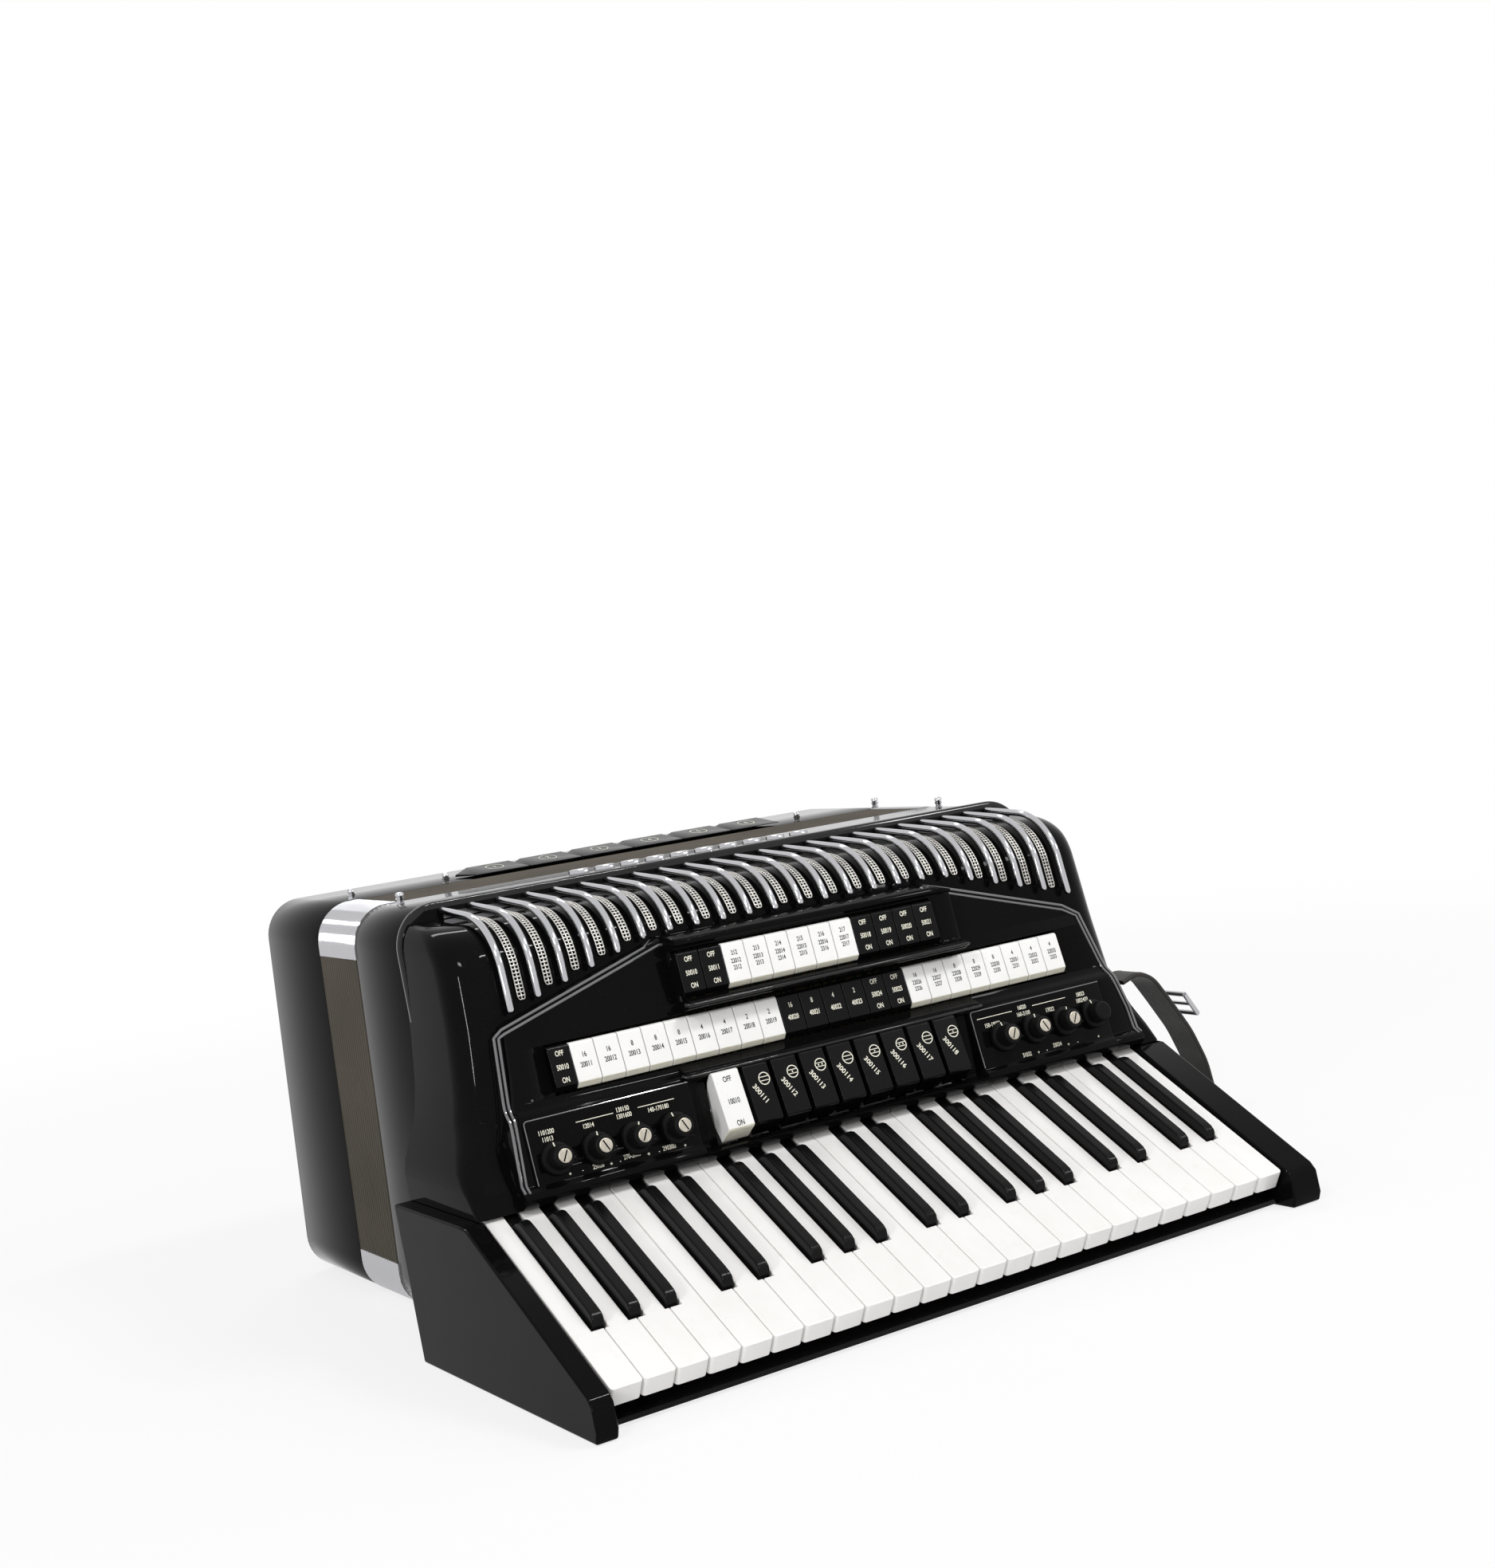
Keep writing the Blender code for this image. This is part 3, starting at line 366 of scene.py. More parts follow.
steel = Finish("axle_steel", {"Metallic": 1.0, "Base Color": (0.56, 0.56, 0.57, 1)})
steel.roughened(0.28 + steel.noise(500.0, 2.0, (0.1, 1.0, 1.0)) * 0.2)

BODY_LEFT = 20.0
BODY_RIGHT = 489.0
BODY_MID = (BODY_LEFT + BODY_RIGHT) / 2
BACK_Z = -87.0
TOP_Z = 165.0
CORNER = 24.0
WALL = 6.0
CASING_END = 184.0
GAP = 0.3
KEY_SLOPE = radians(28.0)
KEYS_LONG = 472.8
LIP_Z = 3.4


def seam_y(z):
    """y of the leaning joint between the cover and the casing."""
    return 118.0 - 0.15 * (TOP_Z - z)


def on_keys(s, n):
    """y and z of a point s along a key towards its tip and n above its top."""
    return (-s * cos(KEY_SLOPE) - n * sin(KEY_SLOPE), -s * sin(KEY_SLOPE) + n * cos(KEY_SLOPE))


def ring_outline(inset, steps=12):
    """Rounded rectangle of the casings in x and z."""
    points = []
    radius = CORNER - inset
    centres = ((BODY_RIGHT - CORNER, TOP_Z - CORNER), (BODY_LEFT + CORNER, TOP_Z - CORNER))
    centres += ((BODY_LEFT + CORNER, BACK_Z + CORNER), (BODY_RIGHT - CORNER, BACK_Z + CORNER))
    for quarter, (x, z) in enumerate(centres):
        for i in range(steps + 1):
            turn = pi / 2 * (quarter + i / steps)
            points.append((x + radius * cos(turn), z + radius * sin(turn)))
    return points


def tube(piece, near, far):
    """A casing wall between two y faces, with its outer edges rounded over."""
    loops = []
    for inset, face, shift in ((0.9, near, 0.0), (0.25, near, 0.3), (0.0, near, 1.0), (0.0, far, -1.0),
                               (0.25, far, -0.3), (0.9, far, 0.0), (WALL, far, 0.0), (WALL, near, 0.0)):
        loops.append([(x, face(z) + shift, z) for x, z in ring_outline(inset)])
    piece.loft(loops, ends="ring")


casing = Shells(celluloid, wood, circuit, steel)
tube(casing, seam_y, lambda z: CASING_END)
BOARD_Y = 122.0
casing.tone = 1
casing.plate(ring_outline(WALL - 1.0), BOARD_Y, BOARD_Y + 6.0)
for number in range(4):
    z = BACK_Z + 45.0 + 54.0 * number
    outline = [(127.0, z - 17.0), (179.0, z - 9.0), (179.0, z + 9.0), (127.0, z + 17.0)]
    casing.prism(outline, BODY_LEFT + 40.0, BODY_RIGHT - 40.0)
casing.tone = 0
bed = [on_keys(s, n) for s, n in ((-56.0, -19.5), (138.0, -19.5), (138.0, -23.5), (-56.0, -23.5))]
casing.prism(bed, -0.2, KEYS_LONG + 2.2)
casing.tone = 2
casing.box(BODY_LEFT + 50.0, BODY_RIGHT - 59.0, 66.0, 68.0, 38.0, 122.0)
casing.tone = 3
axle_at = on_keys(-43.0, -14.3)
casing.peg((-0.2, *axle_at), (1, 0, 0), [(0.0, 2.0), (KEYS_LONG + 2.4, 2.0)], 16)
for x in (84.0, 250.0, 416.0):
    for z in (48.0, 112.0):
        casing.peg((x, 67.5, z), (0, 1, 0), [(0, 3.0), (BOARD_Y - 66.5, 3.0)], 12)
casing.tone = 0
casing.made("treble_casing_shell", "treble_body", "black_celluloid", ("treble_casing",))

# Cheeks close the keyboard at both ends, and a thin floor joins them under the keys.
# They are lacquered like the casing, with their edges eased by hand.
cheeks = Shells(celluloid)
tip_y, tip_z = on_keys(140.5, 1.5)
cheek_rear = seam_y(BACK_Z) - GAP
cheek = [(tip_y, BACK_Z), (tip_y - 2.0, BACK_Z + 6.0), (tip_y, tip_z - 3.0), (tip_y + 4.0, tip_z + 1.5)]
cheek += [on_keys(0.0, 2.6), (8.0, LIP_Z - 0.4), (seam_y(LIP_Z - 0.4) - GAP, LIP_Z - 0.4), (cheek_rear, BACK_Z)]
for x0, x1 in ((-14.0, -1.0), (KEYS_LONG + 1.2, KEYS_LONG + 24.2)):
    cheeks.prism(cheek, x0, x1)
cheeks.box(-2.0, KEYS_LONG + 2.2, tip_y + 16.0, cheek_rear + 8.0, BACK_Z + 0.5, BACK_Z + 4.5)
cheeks.made("keyboard_cheeks", "treble_body", "black_celluloid", ease=1.4, rings=3)

# White keys: pearl plastic wrapped over wooden sticks, notched beside the black keys,
# each turning on the steel axle under the cover.
pearl = Finish("white_key_pearl", {"IOR": 1.5, "Coat Weight": 0.25, "Coat Roughness": 0.06})
swirl = pearl.noise(70.0, 4.0, (1.0, 0.25, 1.0))
grime = pearl.noise(160.0, 3.0).between(0.62, 0.78)
pearl.coloured(pearl.mixed(grime * 0.25, pearl.mixed(swirl, grey(0.90, 0.02), grey(0.82, 0.05)), grey(0.62, 0.16)))
pearl.roughened(0.16 + swirl * 0.10 + grime * 0.15)
pearl.raised(pearl.noise(55.0, 2.0), 0.0002, 0.3)

PITCH = 19.7
WHITE_NAMES = ["F3", "G3", "A3", "B3"]
for octave in (4, 5):
    WHITE_NAMES += [letter + str(octave) for letter in "CDEFGAB"]
WHITE_NAMES += ["C6", "D6", "E6", "F6", "G6", "A6"]
BLACK_OFFSETS = {"F": -2.4, "G": 0.0, "A": 2.4, "C": -1.8, "D": 1.8}
BLACKS = {}
for number, name in enumerate(WHITE_NAMES[:-1]):
    if name[0] in BLACK_OFFSETS:
        BLACKS[number] = (number + 1) * PITCH + BLACK_OFFSETS[name[0]]
BLACK_WIDE = 8.7
BLACK_HIGH = 6.2
BLACK_LONG = 93.0
KEY_OUT = 136.0
KEY_TAIL = -48.0

for number, name in enumerate(WHITE_NAMES):
    left = number * PITCH + 0.25
    right = (number + 1) * PITCH - 0.25
    reach = BLACK_WIDE / 2 + 0.7
    tail_left = BLACKS[number - 1] + reach if number - 1 in BLACKS else left
    tail_right = BLACKS[number] - reach if number in BLACKS else right
    head = BLACK_LONG + 1.2
    plan = [(tail_left, KEY_TAIL), (tail_right, KEY_TAIL), (tail_right, head)]
    if tail_right < right:
        plan.append((right, head))
    for i in range(5):
        turn = pi / 2 * i / 4
        plan.append((right - 2.5 * (1 - cos(turn)), KEY_OUT - 2.5 * (1 - sin(turn))))
    for i in range(5):
        turn = pi / 2 * (1 - i / 4)
        plan.append((left + 2.5 * (1 - cos(turn)), KEY_OUT - 2.5 * (1 - sin(turn))))
    if tail_left > left:
        plan.append((left, head))
    plan.append((tail_left, head))
    key = Shells(pearl)
    key.loft([[(x, *on_keys(s, n)) for x, s in plan] for n in (-12.0, 0.0)])
    key.made("white_" + name, "key_" + name, "ivory_plastic", ("key_" + name,), ease=0.7, rings=3, crease=40)

# Black keys: moulded black plastic, narrower at the top, with a sloped nose.
ebony = Finish("black_key_plastic", {"Specular IOR Level": 0.10})
rub = ebony.noise(120.0, 3.0, (1.0, 0.3, 1.0))
ebony.coloured(ebony.mixed(rub, (0.0025, 0.0025, 0.003, 1), (0.006, 0.006, 0.006, 1)))
ebony.roughened(0.13 + rub * 0.14)
ebony.raised(ebony.noise(900.0, 2.0), 0.00004, 0.5)

for number, centre in BLACKS.items():
    name = WHITE_NAMES[number]
    name = name[0] + "s" + name[1]
    side = [(KEY_TAIL, -1.0), (2.5, -1.0), (6.0, BLACK_HIGH * 0.7), (9.0, BLACK_HIGH * 0.95), (14.0, BLACK_HIGH)]
    side += [(BLACK_LONG - 10.0, BLACK_HIGH), (BLACK_LONG - 5.0, BLACK_HIGH * 0.95), (BLACK_LONG - 2.2, BLACK_HIGH * 0.77)]
    side += [(BLACK_LONG - 0.6, BLACK_HIGH * 0.42), (BLACK_LONG, -11.0), (KEY_TAIL, -11.0)]
    loops = []
    for place in (-1, 1):
        loops.append([(centre + place * (BLACK_WIDE / 2 - (0.9 if n > 0 else 0.0)), *on_keys(s, n)) for s, n in side])
    key = Shells(ebony)
    key.loft(loops)
    key.made("black_" + name, "key_" + name, "black_plastic", ("key_" + name,), ease=1.1, rings=3, crease=38)

# The treble cover: one moulded celluloid shell over the keys' levers. It bends back over a
# round shoulder, and a stepped panel stands out of it for the tabs and the knobs.
LOW_EDGES = [(LIP_Z, -3.6), (24.0, -3.4), (44.0, 7.5), (66.0, 13.0), (100.0, 17.0), (130.0, 18.5), (141.0, 19.0)]
HIGH_EDGES = [(LIP_Z, 496.5), (42.0, 493.5), (86.0, 490.5), (119.0, 490.0), (141.0, 489.5)]
PANEL_LEFT = [(LIP_Z, 22.0), (54.0, 26.0), (95.5, 31.0), (99.5, 37.0), (130.0, 148.0), (200.0, 148.0)]
PANEL_RIGHT = [(LIP_Z, 479.0), (30.0, 476.0), (93.0, 462.0), (100.7, 450.0), (130.0, 348.0), (200.0, 348.0)]
END_CORNERS = [(LIP_Z, 4.0), (14.5, 8.0), (25.0, 13.0), (50.0, 22.0)]
TOP_Y = 110.5
BASE_LEAN = 0.24
TOP_SLOPE = 0.061
BEND = 35.3


def blend(z, table):
    """Value at z on a polyline of (z, value) points."""
    for (z0, v0), (z1, v1) in zip(table, table[1:]):
        if z <= z1:
            break
    part = max(0.0, (z - z0) / (z1 - z0))
    return v0 + (v1 - v0) * min(part, 1.0)


def flowing(z, table):
    """The same points with the corners of the line smoothed."""
    return sum(blend(z + shift, table) for shift in (-6.0, -3.0, 0.0, 3.0, 6.0)) / 5


def shoulder(z):
    """How far the rounded shoulder pulls the end face in at height z."""
    rise = z - (TOP_Z - CORNER)
    return CORNER - sqrt(max(CORNER ** 2 - rise ** 2, 0.0)) if rise > 0 else 0.0


def cover_left(z):
    return flowing(z, LOW_EDGES) + shoulder(z)


def cover_right(z):
    return flowing(z, HIGH_EDGES) - shoulder(z)


def base_y(z):
    return 41.0 + BASE_LEAN * (z - 110.0)


def front_y(z):
    """The cover's front beside the panel: a plane, drawn forward over the keys."""
    foot = [(LIP_Z, 1.6), (14.5, 8.0), (25.0, 15.0), (50.0, base_y(50.0)), (62.0, base_y(62.0))]
    return blend(z, foot) if z < 50.0 else base_y(z)


bend_z = (157.6 - TOP_SLOPE * (TOP_Y - 41.0 + BASE_LEAN * 110.0)) / (1 - TOP_SLOPE * BASE_LEAN)
BEND_AT = Vector((base_y(bend_z), bend_z))
UP_RUN = Vector((BASE_LEAN, 1.0)).normalized()
TOP_RUN = Vector((1.0, TOP_SLOPE)).normalized()
BEND_TURN = UP_RUN.angle(TOP_RUN)


def bend_path(lift, low_z, rear_y, steps=18):
    """(y, z) points from low_z over the shoulder to rear_y, `lift` outside the cover."""
    lean = atan(BASE_LEAN)
    start = BEND_AT - UP_RUN * BEND * tan(BEND_TURN / 2)
    centre = start + Vector((cos(lean), -sin(lean))) * BEND
    radius = BEND + lift
    begin = max(asin(min((low_z - centre.y) / radius, 1.0)) - lean, 0.0)
    turns = [begin + (BEND_TURN - begin) * i / steps for i in range(steps + 1)]
    points = [centre + Vector((-cos(lean + turn), sin(lean + turn))) * radius for turn in turns]
    if begin <= 0:
        points.insert(0, points[0] + UP_RUN * ((low_z - points[0].y) / UP_RUN.y))
    points.append(points[-1] + TOP_RUN * ((rear_y - points[-1].x) / TOP_RUN.x))
    return points


def eased(points, reach, steps=3):
    """A polyline with each corner rounded, starting `reach` before it."""
    result = [Vector(points[0])]
    for before, corner, after in zip(points, points[1:], points[2:]):
        before, corner, after = Vector(before), Vector(corner), Vector(after)
        come = before - corner
        go = after - corner
        near = corner + come.normalized() * min(reach, come.length * 0.45)
        far = corner + go.normalized() * min(reach, go.length * 0.45)
        for i in range(steps + 1):
            t = i / steps
            result.append(near * (1 - t) ** 2 + corner * 2 * t * (1 - t) + far * t * t)
    result.append(Vector(points[-1]))
    return result


MIDDLE_ROWS = [
    (1.0, LIP_Z), (-3.6, 6.0), (-5.5, 9.5), (-4.4, 12.5), (-1.5, 14.5), (8.0, 50.0),
    (6.8, 52.0), (8.0, 54.5), (17.0, 57.5), (25.6, 86.5), (13.4, 89.5), (11.8, 92.0),
    (13.2, 94.0), (19.2, 95.0), (25.6, 124.5), (22.8, 126.5), (23.4, 129.0), (25.0, 130.0),
]
SIDE_ROWS = [
    (1.0, LIP_Z), (-3.6, 6.0), (-5.5, 9.5), (-4.4, 12.5), (-1.2, 14.4), (0.4, 15.2),
    (9.3, 48.6), (11.0, 51.6), (15.4, 54.8), (17.4, 58.6), (28.6, 96.6), (38.2, 129.0), (40.5, 130.0),
]
middle_line = [(p.y, p.x) for p in eased(MIDDLE_ROWS, 1.6)]
side_line = [(p.y, p.x) for p in eased(SIDE_ROWS, 1.6)]
heights = sorted({round(z, 3) for z, y in middle_line + side_line})
heights += [9.7, 10.4, 11.4, 13.4, 16.4, 48.4, 49.3, 50.01, 50.4, 20.0, 26.0, 32.0, 38.0, 44.0, 64.0, 71.0, 78.0, 83.0, 99.5, 100.7, 105.0, 111.0, 118.0]
heights = sorted(heights)
heights = [z for z, above in zip(heights, heights[1:] + [999.0]) if above - z > 0.004]
THICK = 3.0
WELL = [(9.7, 0.0), (10.4, 9.4), (12.5, 9.2), (14.5, 6.7), (48.4, 3.6), (50.0, 0.0), (200.0, 0.0)]


def step_out(x, side, y_back, y_front, inset):
    """Points of a step in the panel at x, rounded on its proud edge; side is +1 to the right."""
    x += side * inset
    rise = max(y_back - y_front, 0.02)
    soft = min(1.8, rise * 0.7)
    return [(x, y_back), (x + side * 0.2, y_front + soft), (x + side * (0.2 + 0.3 * soft), y_front + 0.3 * soft),
            (x + side * (0.2 + soft), y_front)]


def cover_loop(y_side, y_middle, y_base, z, inset):
    """One U of the cover at height z, from seam to seam."""
    left = cover_left(z) + inset
    right = cover_right(z) - inset
    seam = seam_y(z) - GAP
    corner = min(blend(z, END_CORNERS) - inset, max(seam - y_base - 1.0, 0.5))
    quarter = [pi / 2 * i / 9 for i in range(10)]
    points = [(left, seam)]
    points += [(left + corner * (1 - cos(turn)), y_base + corner * (1 - sin(turn))) for turn in quarter]
    steep = inset if z < 97.0 else inset * 3.75
    wall_left = max(blend(z, PANEL_LEFT) + steep, left + corner + 0.2)
    wall_right = min(blend(z, PANEL_RIGHT) - steep, right - corner - 0.2)
    inner_left = 32.0 if z < 50.2 else 139.0 if z < 60.0 else 151.0
    inner_right = 454.5 if z < 50.2 else 357.0
    inner_left = max(inner_left, wall_left + 2.3)
    inner_right = min(inner_right, wall_right - 2.3)
    y_side = min(y_side, y_base)
    y_well = y_middle + min(blend(z, WELL), max(y_base - y_middle, 0.0))
    well_left = 140.0 if z < 50.2 else inner_left + 12.0
    well_right = 346.5 if z < 50.2 else inner_right - 12.0
    points += step_out(wall_left, 1, y_base, y_side, 0.0)
    points += step_out(inner_left, 1, y_side, y_middle, inset)
    points += step_out(well_left, -1, y_well, y_middle, inset)[::-1]
    points += step_out(well_right, 1, y_well, y_middle, inset)
    points += step_out(inner_right, -1, y_side, y_middle, inset)[::-1]
    points += step_out(wall_right, -1, y_base, y_side, 0.0)[::-1]
    points += [(right - corner * (1 - cos(turn)), y_base + corner * (1 - sin(turn))) for turn in quarter[::-1]]
    points.append((right, seam))
    return [(x, y, z) for x, y in points]


outer = []
inner = []
for z in heights:
    below = z if z < 120.0 else 120.0 + (z - 120.0) * 0.7
    y_side = blend(z, side_line)
    y_middle = blend(z, middle_line)
    outer.append(cover_loop(y_side, y_middle, front_y(z), z, 0.0))
    inner.append(cover_loop(y_side + THICK, y_middle + THICK, front_y(below) + THICK, below, THICK))
for (y, z), (y_in, z_in) in zip(bend_path(0.0, 131.2, TOP_Y), bend_path(-THICK, 128.2, TOP_Y)):
    outer.append(cover_loop(y, y, y, z, 0.0))
    inner.append(cover_loop(y_in, y_in, y_in, z_in, THICK))
for y, z in ((TOP_Y + 2.0, TOP_Z - 1.2), (116.4, TOP_Z - 0.6)):
    outer.append(cover_loop(y, y, y, z, 0.0))
    inner.append(cover_loop(y, y, y, z - THICK, THICK))
wide = len(outer[0])
rows = len(outer)
faces = []
for row in range(rows - 1):
    for column in range(wide - 1):
        a = row * wide + column
        faces.append([a, a + 1, a + wide + 1, a + wide])
        a += rows * wide
        faces.append([a, a + 1, a + wide + 1, a + wide])
    for a in (row * wide, row * wide + wide - 1):
        faces.append([a, a + wide, a + wide + rows * wide, a + rows * wide])
for column in range(wide - 1):
    for a in (column, (rows - 1) * wide + column):
        faces.append([a, a + 1, a + 1 + rows * wide, a + rows * wide])
cover = Shells(celluloid)
cover.add([v for loop in outer + inner for v in loop], faces)
cover_piece = cover.made("cover_shell", "treble_body", "black_celluloid", ("treble_cover",), crease=30)

# Slots for the three rows of tabs and holes for the knob shafts are routed out of the shell.
ROW_SPAN = {
    "upper_tabs": ((16.4, 97.3), (22.5, 122.0)),
    "middle_tabs": ((15.65, 60.6), (22.9, 84.4)),
    "lower_tabs": ((-8.2, 17.2), (5.2, 51.8)),
}
AXLE_DEEP = {"upper_tabs": 12.0, "middle_tabs": 12.0, "lower_tabs": 14.4}
TAB_PITCH = 15.75
ROW_EDGES = {
    "upper_tabs": [150.2 + TAB_PITCH * i for i in range(13)],
    "middle_tabs": [60.0] + [74.3 + TAB_PITCH * i for i in range(24)],
    "lower_tabs": [152.6] + [173.6 + 20.1 * i for i in range(9)],
}


class Row:
    """One row of rockers: u runs up their faces and v stands out of them."""

    def __init__(self, name):
        low, high = ROW_SPAN[name]
        self.name = name
        self.edges = ROW_EDGES[name]
        self.low = Vector(low)
        self.up = (Vector(high) - self.low).normalized()
        self.long = (Vector(high) - self.low).length
        self.out = Vector((-self.up.y, self.up.x))

    def at(self, u, v):
        return self.low + self.up * u + self.out * v

    def face(self, x, u, v=0.08):
        """Places (right, up) points of a marking round the point (x, u) of a tab's face."""
        return lambda right, up: (x + right, *self.at(u + up, v))


ROWS = {name: Row(name) for name in ROW_SPAN}
slots = Shells(celluloid)
for row in ROWS.values():
    deep = -18.0 if row.name == "lower_tabs" else -7.5
    corners = ((-2.2, 3.0), (row.long + 2.2, 3.0), (row.long + 2.2, deep), (-2.2, deep))
    slots.prism([tuple(row.at(u, v)) for u, v in corners], row.edges[0] - 0.5, row.edges[-1] + 0.5)
KNOBS = {"knob_left": ((46.7, 72.4, 97.4, 123.7), 27.0), "knob_right": ((366.8, 392.4, 417.1, 442.0), 31.0)}
FACE_LOW = Vector((-1.5, 14.5))
FACE_UP = (Vector((1.31, 25.0)) - FACE_LOW).normalized()
FACE_OUT = Vector((0.0, -FACE_UP.y, FACE_UP.x))


def on_face(x, z, lift=0.0):
    """A point of the knobs' plane at height z, `lift` in front of it."""
    foot = FACE_LOW + FACE_UP * ((z - FACE_LOW.y) / FACE_UP.y)
    return Vector((x, *foot)) + FACE_OUT * lift


for centres, z in KNOBS.values():
    for x in centres:
        slots.peg(on_face(x, z), FACE_OUT, [(-6.0, 3.4), (3.0, 3.4)], 16)
router = slots.made("slot_router", "treble_body")
router.hide_render = True
routed = cover_piece.modifiers.new("routed", "BOOLEAN")
routed.object = router
routed.operation = "DIFFERENCE"
routed.solver = "EXACT"

# Beads moulded on the cover: a double line round the panel, one at the end of each ledge
# between the rows, and the wide bead over the seam to the casing.
# The double line round the panel and the frame lines of the knob panels get a grey, half-metal colour, varied at
# random in patches: a painted sheen standing in for highlights on beads of black celluloid. The ledge beads and the
# seam bead stay black.
bead_sheen = Finish("painted_sheen_bead", {"Specular IOR Level": 0.9, "Metallic": 0.5})
sheen_patches = bead_sheen.noise(60.0, 2.0)
bead_sheen.coloured(bead_sheen.mixed(sheen_patches, (0.13, 0.13, 0.135, 1), (0.18, 0.18, 0.185, 1)))
bead_sheen.roughened(0.035 + sheen_patches * 0.05)
bead_sheen.raised(bead_sheen.noise(40.0, 1.0), 0.0001, 0.2)
buffed = Finish("buffed_bead", {"Specular IOR Level": 0.35, "Base Color": (0.004, 0.004, 0.004, 1)})
buffed.roughened(0.035 + buffed.noise(60.0, 2.0) * 0.05)
buffed.raised(buffed.noise(40.0, 1.0), 0.0001, 0.2)
beads = Shells(bead_sheen, buffed)
PANEL_LINE = [(13.0, 22.8), (54.0, 26.0), (95.5, 31.0), (99.5, 37.0), (130.0, 148.0), (130.3, 348.0), (100.7, 450.0)]
PANEL_LINE += [(93.0, 462.0), (30.0, 476.0), (13.0, 477.5)]


def front_of_panel(z):
    return min(blend(z, side_line), front_y(z)) if z < 129.0 else front_y(z)


def drawn_in(line, inset):
    """The (z, x) polyline moved `inset` towards the panel's middle."""
    moved = []
    for i, (z, x) in enumerate(line):
        before = Vector(line[max(i - 1, 0)])
        after = Vector(line[min(i + 1, len(line) - 1)])
        run = (after - before).normalized()
        moved.append((z - run.y * inset, x + run.x * inset))
    return moved


for inset, lift in ((0.6, 0.0), (3.4, 0.1)):
    corners = drawn_in(PANEL_LINE, inset)
    fine = []
    for (z0, x0), (z1, x1) in zip(corners, corners[1:]):
        fine += [(z0 + (z1 - z0) * i / 12, x0 + (x1 - x0) * i / 12) for i in range(12)]
    fine.append(corners[-1])
    path = []
    for z, x in fine:
        path.append((x, front_of_panel(z) - lift, z))
    beads.rod([Vector(p) for p in path], 0.85, 10)
for x0, x1 in ((32.8, 139.2), (347.3, 453.7)):
    edge = [on_face(x, z) for x, z in ((x0, 15.2), (x0, 47.8), (x0 + 0.4, 49.0), (x0 + 1.5, 49.7), (x1, 49.8))]
    beads.rod(edge, 0.4, 8)
beads.tone = 1
for x0, x1, y, z in ((149.0, 358.5, 12.4, 92.0), (138.0, 358.5, 7.4, 52.2)):
    beads.rod([Vector(p) for p in ((x0, y + 3.2, z + 0.4), (x0 + 1.4, y + 0.8, z), (x0 + 4.0, y, z), (x1 - 4.0, y, z),
                                   (x1 - 1.4, y + 0.8, z), (x1, y + 3.2, z + 0.4))], 1.1, 12)
ridge = []
for grow, back in ((-2.0, -5.0), (1.6, -4.9), (2.5, -4.5), (3.0, -3.6), (3.0, -1.6), (2.5, -0.8), (1.6, -0.5), (-2.0, -0.5)):
    radius = CORNER + grow
    loop = [(BODY_LEFT - grow, LIP_Z)]
    for centre, first in ((BODY_LEFT + CORNER, 2), (BODY_RIGHT - CORNER, 1)):
        for i in range(13):
            turn = pi / 2 * (first - i / 12)
            loop.append((centre + radius * cos(turn), TOP_Z - CORNER + radius * sin(turn)))
    loop.append((BODY_RIGHT + grow, LIP_Z))
    ridge.append([(x, seam_y(z) + back, z) for x, z in loop])
beads.loft([[line[i] for line in ridge] for i in range(len(ridge[0]))])
beads.made("cover_beads", "treble_body", "black_celluloid")

# Prints on the panel: lines, plus and minus signs and plain numbers, screened in cream ink.
ink = Finish("cream_ink", {"Roughness": 0.5, "Specular IOR Level": 0.2})
wear = ink.noise(1400.0, 2.0).between(0.60, 0.72)
ink.coloured(ink.mixed(wear, (0.80, 0.78, 0.66, 1), (0.42, 0.41, 0.35, 1)))
ink.raised(wear, 0.00002)
dark_ink = Finish("grey_ink", {"Roughness": 0.55, "Specular IOR Level": 0.2})
worn = dark_ink.noise(1400.0, 2.0).between(0.58, 0.72)
dark_ink.coloured(dark_ink.mixed(worn, (0.020, 0.020, 0.020, 1), (0.22, 0.22, 0.21, 1)))
dark_ink.raised(worn, 0.00002)


def lettering(piece, text, high, place, slant=0.0, narrow=1.0):
    """Adds text as flat shapes, centred; place maps (right, up) in millimetres to a point."""
    font = bpy.data.curves.new("text", "FONT")
    font.body = text
    font.align_x = "CENTER"
    font.align_y = "CENTER"
    font.resolution_u = 4
    font.size = high / 0.70
    font.offset = high * 0.026
    maker = bpy.data.objects.new("text", font)
    flat = bpy.data.meshes.new_from_object(maker)
    spots = []
    for v in flat.vertices:
        right = v.co.x * narrow * cos(slant) - v.co.y * sin(slant)
        up = v.co.x * narrow * sin(slant) + v.co.y * cos(slant)
        spots.append(place(right, up))
    piece.add(spots, [list(face.vertices) for face in flat.polygons])
    bpy.data.objects.remove(maker)
    bpy.data.curves.remove(font)
    bpy.data.meshes.remove(flat)


def stroke(piece, x0, x1, y0, y1, place):
    """A flat rectangle between two corners."""
    piece.add([place(x0, y0), place(x1, y0), place(x1, y1), place(x0, y1)], [[0, 1, 2, 3]])


def ring_mark(piece, radius, thick, place, sides=40):
    """A flat ring round the marking's own middle."""
    points = []
    for i in range(sides):
        turn = 2 * pi * i / sides
        for r in (radius - thick / 2, radius + thick / 2):
            points.append(place(r * cos(turn), r * sin(turn)))
    piece.add(points, [[2 * i, 2 * i + 1, (2 * i + 3) % (2 * sides), (2 * i + 2) % (2 * sides)] for i in range(sides)])


def panel_spot(x, z):
    """Places a marking on the knobs' plane."""
    def place(right, up):
        return on_face(x + right, z, 0.08) + Vector((0.0, *FACE_UP)) * up
    return place


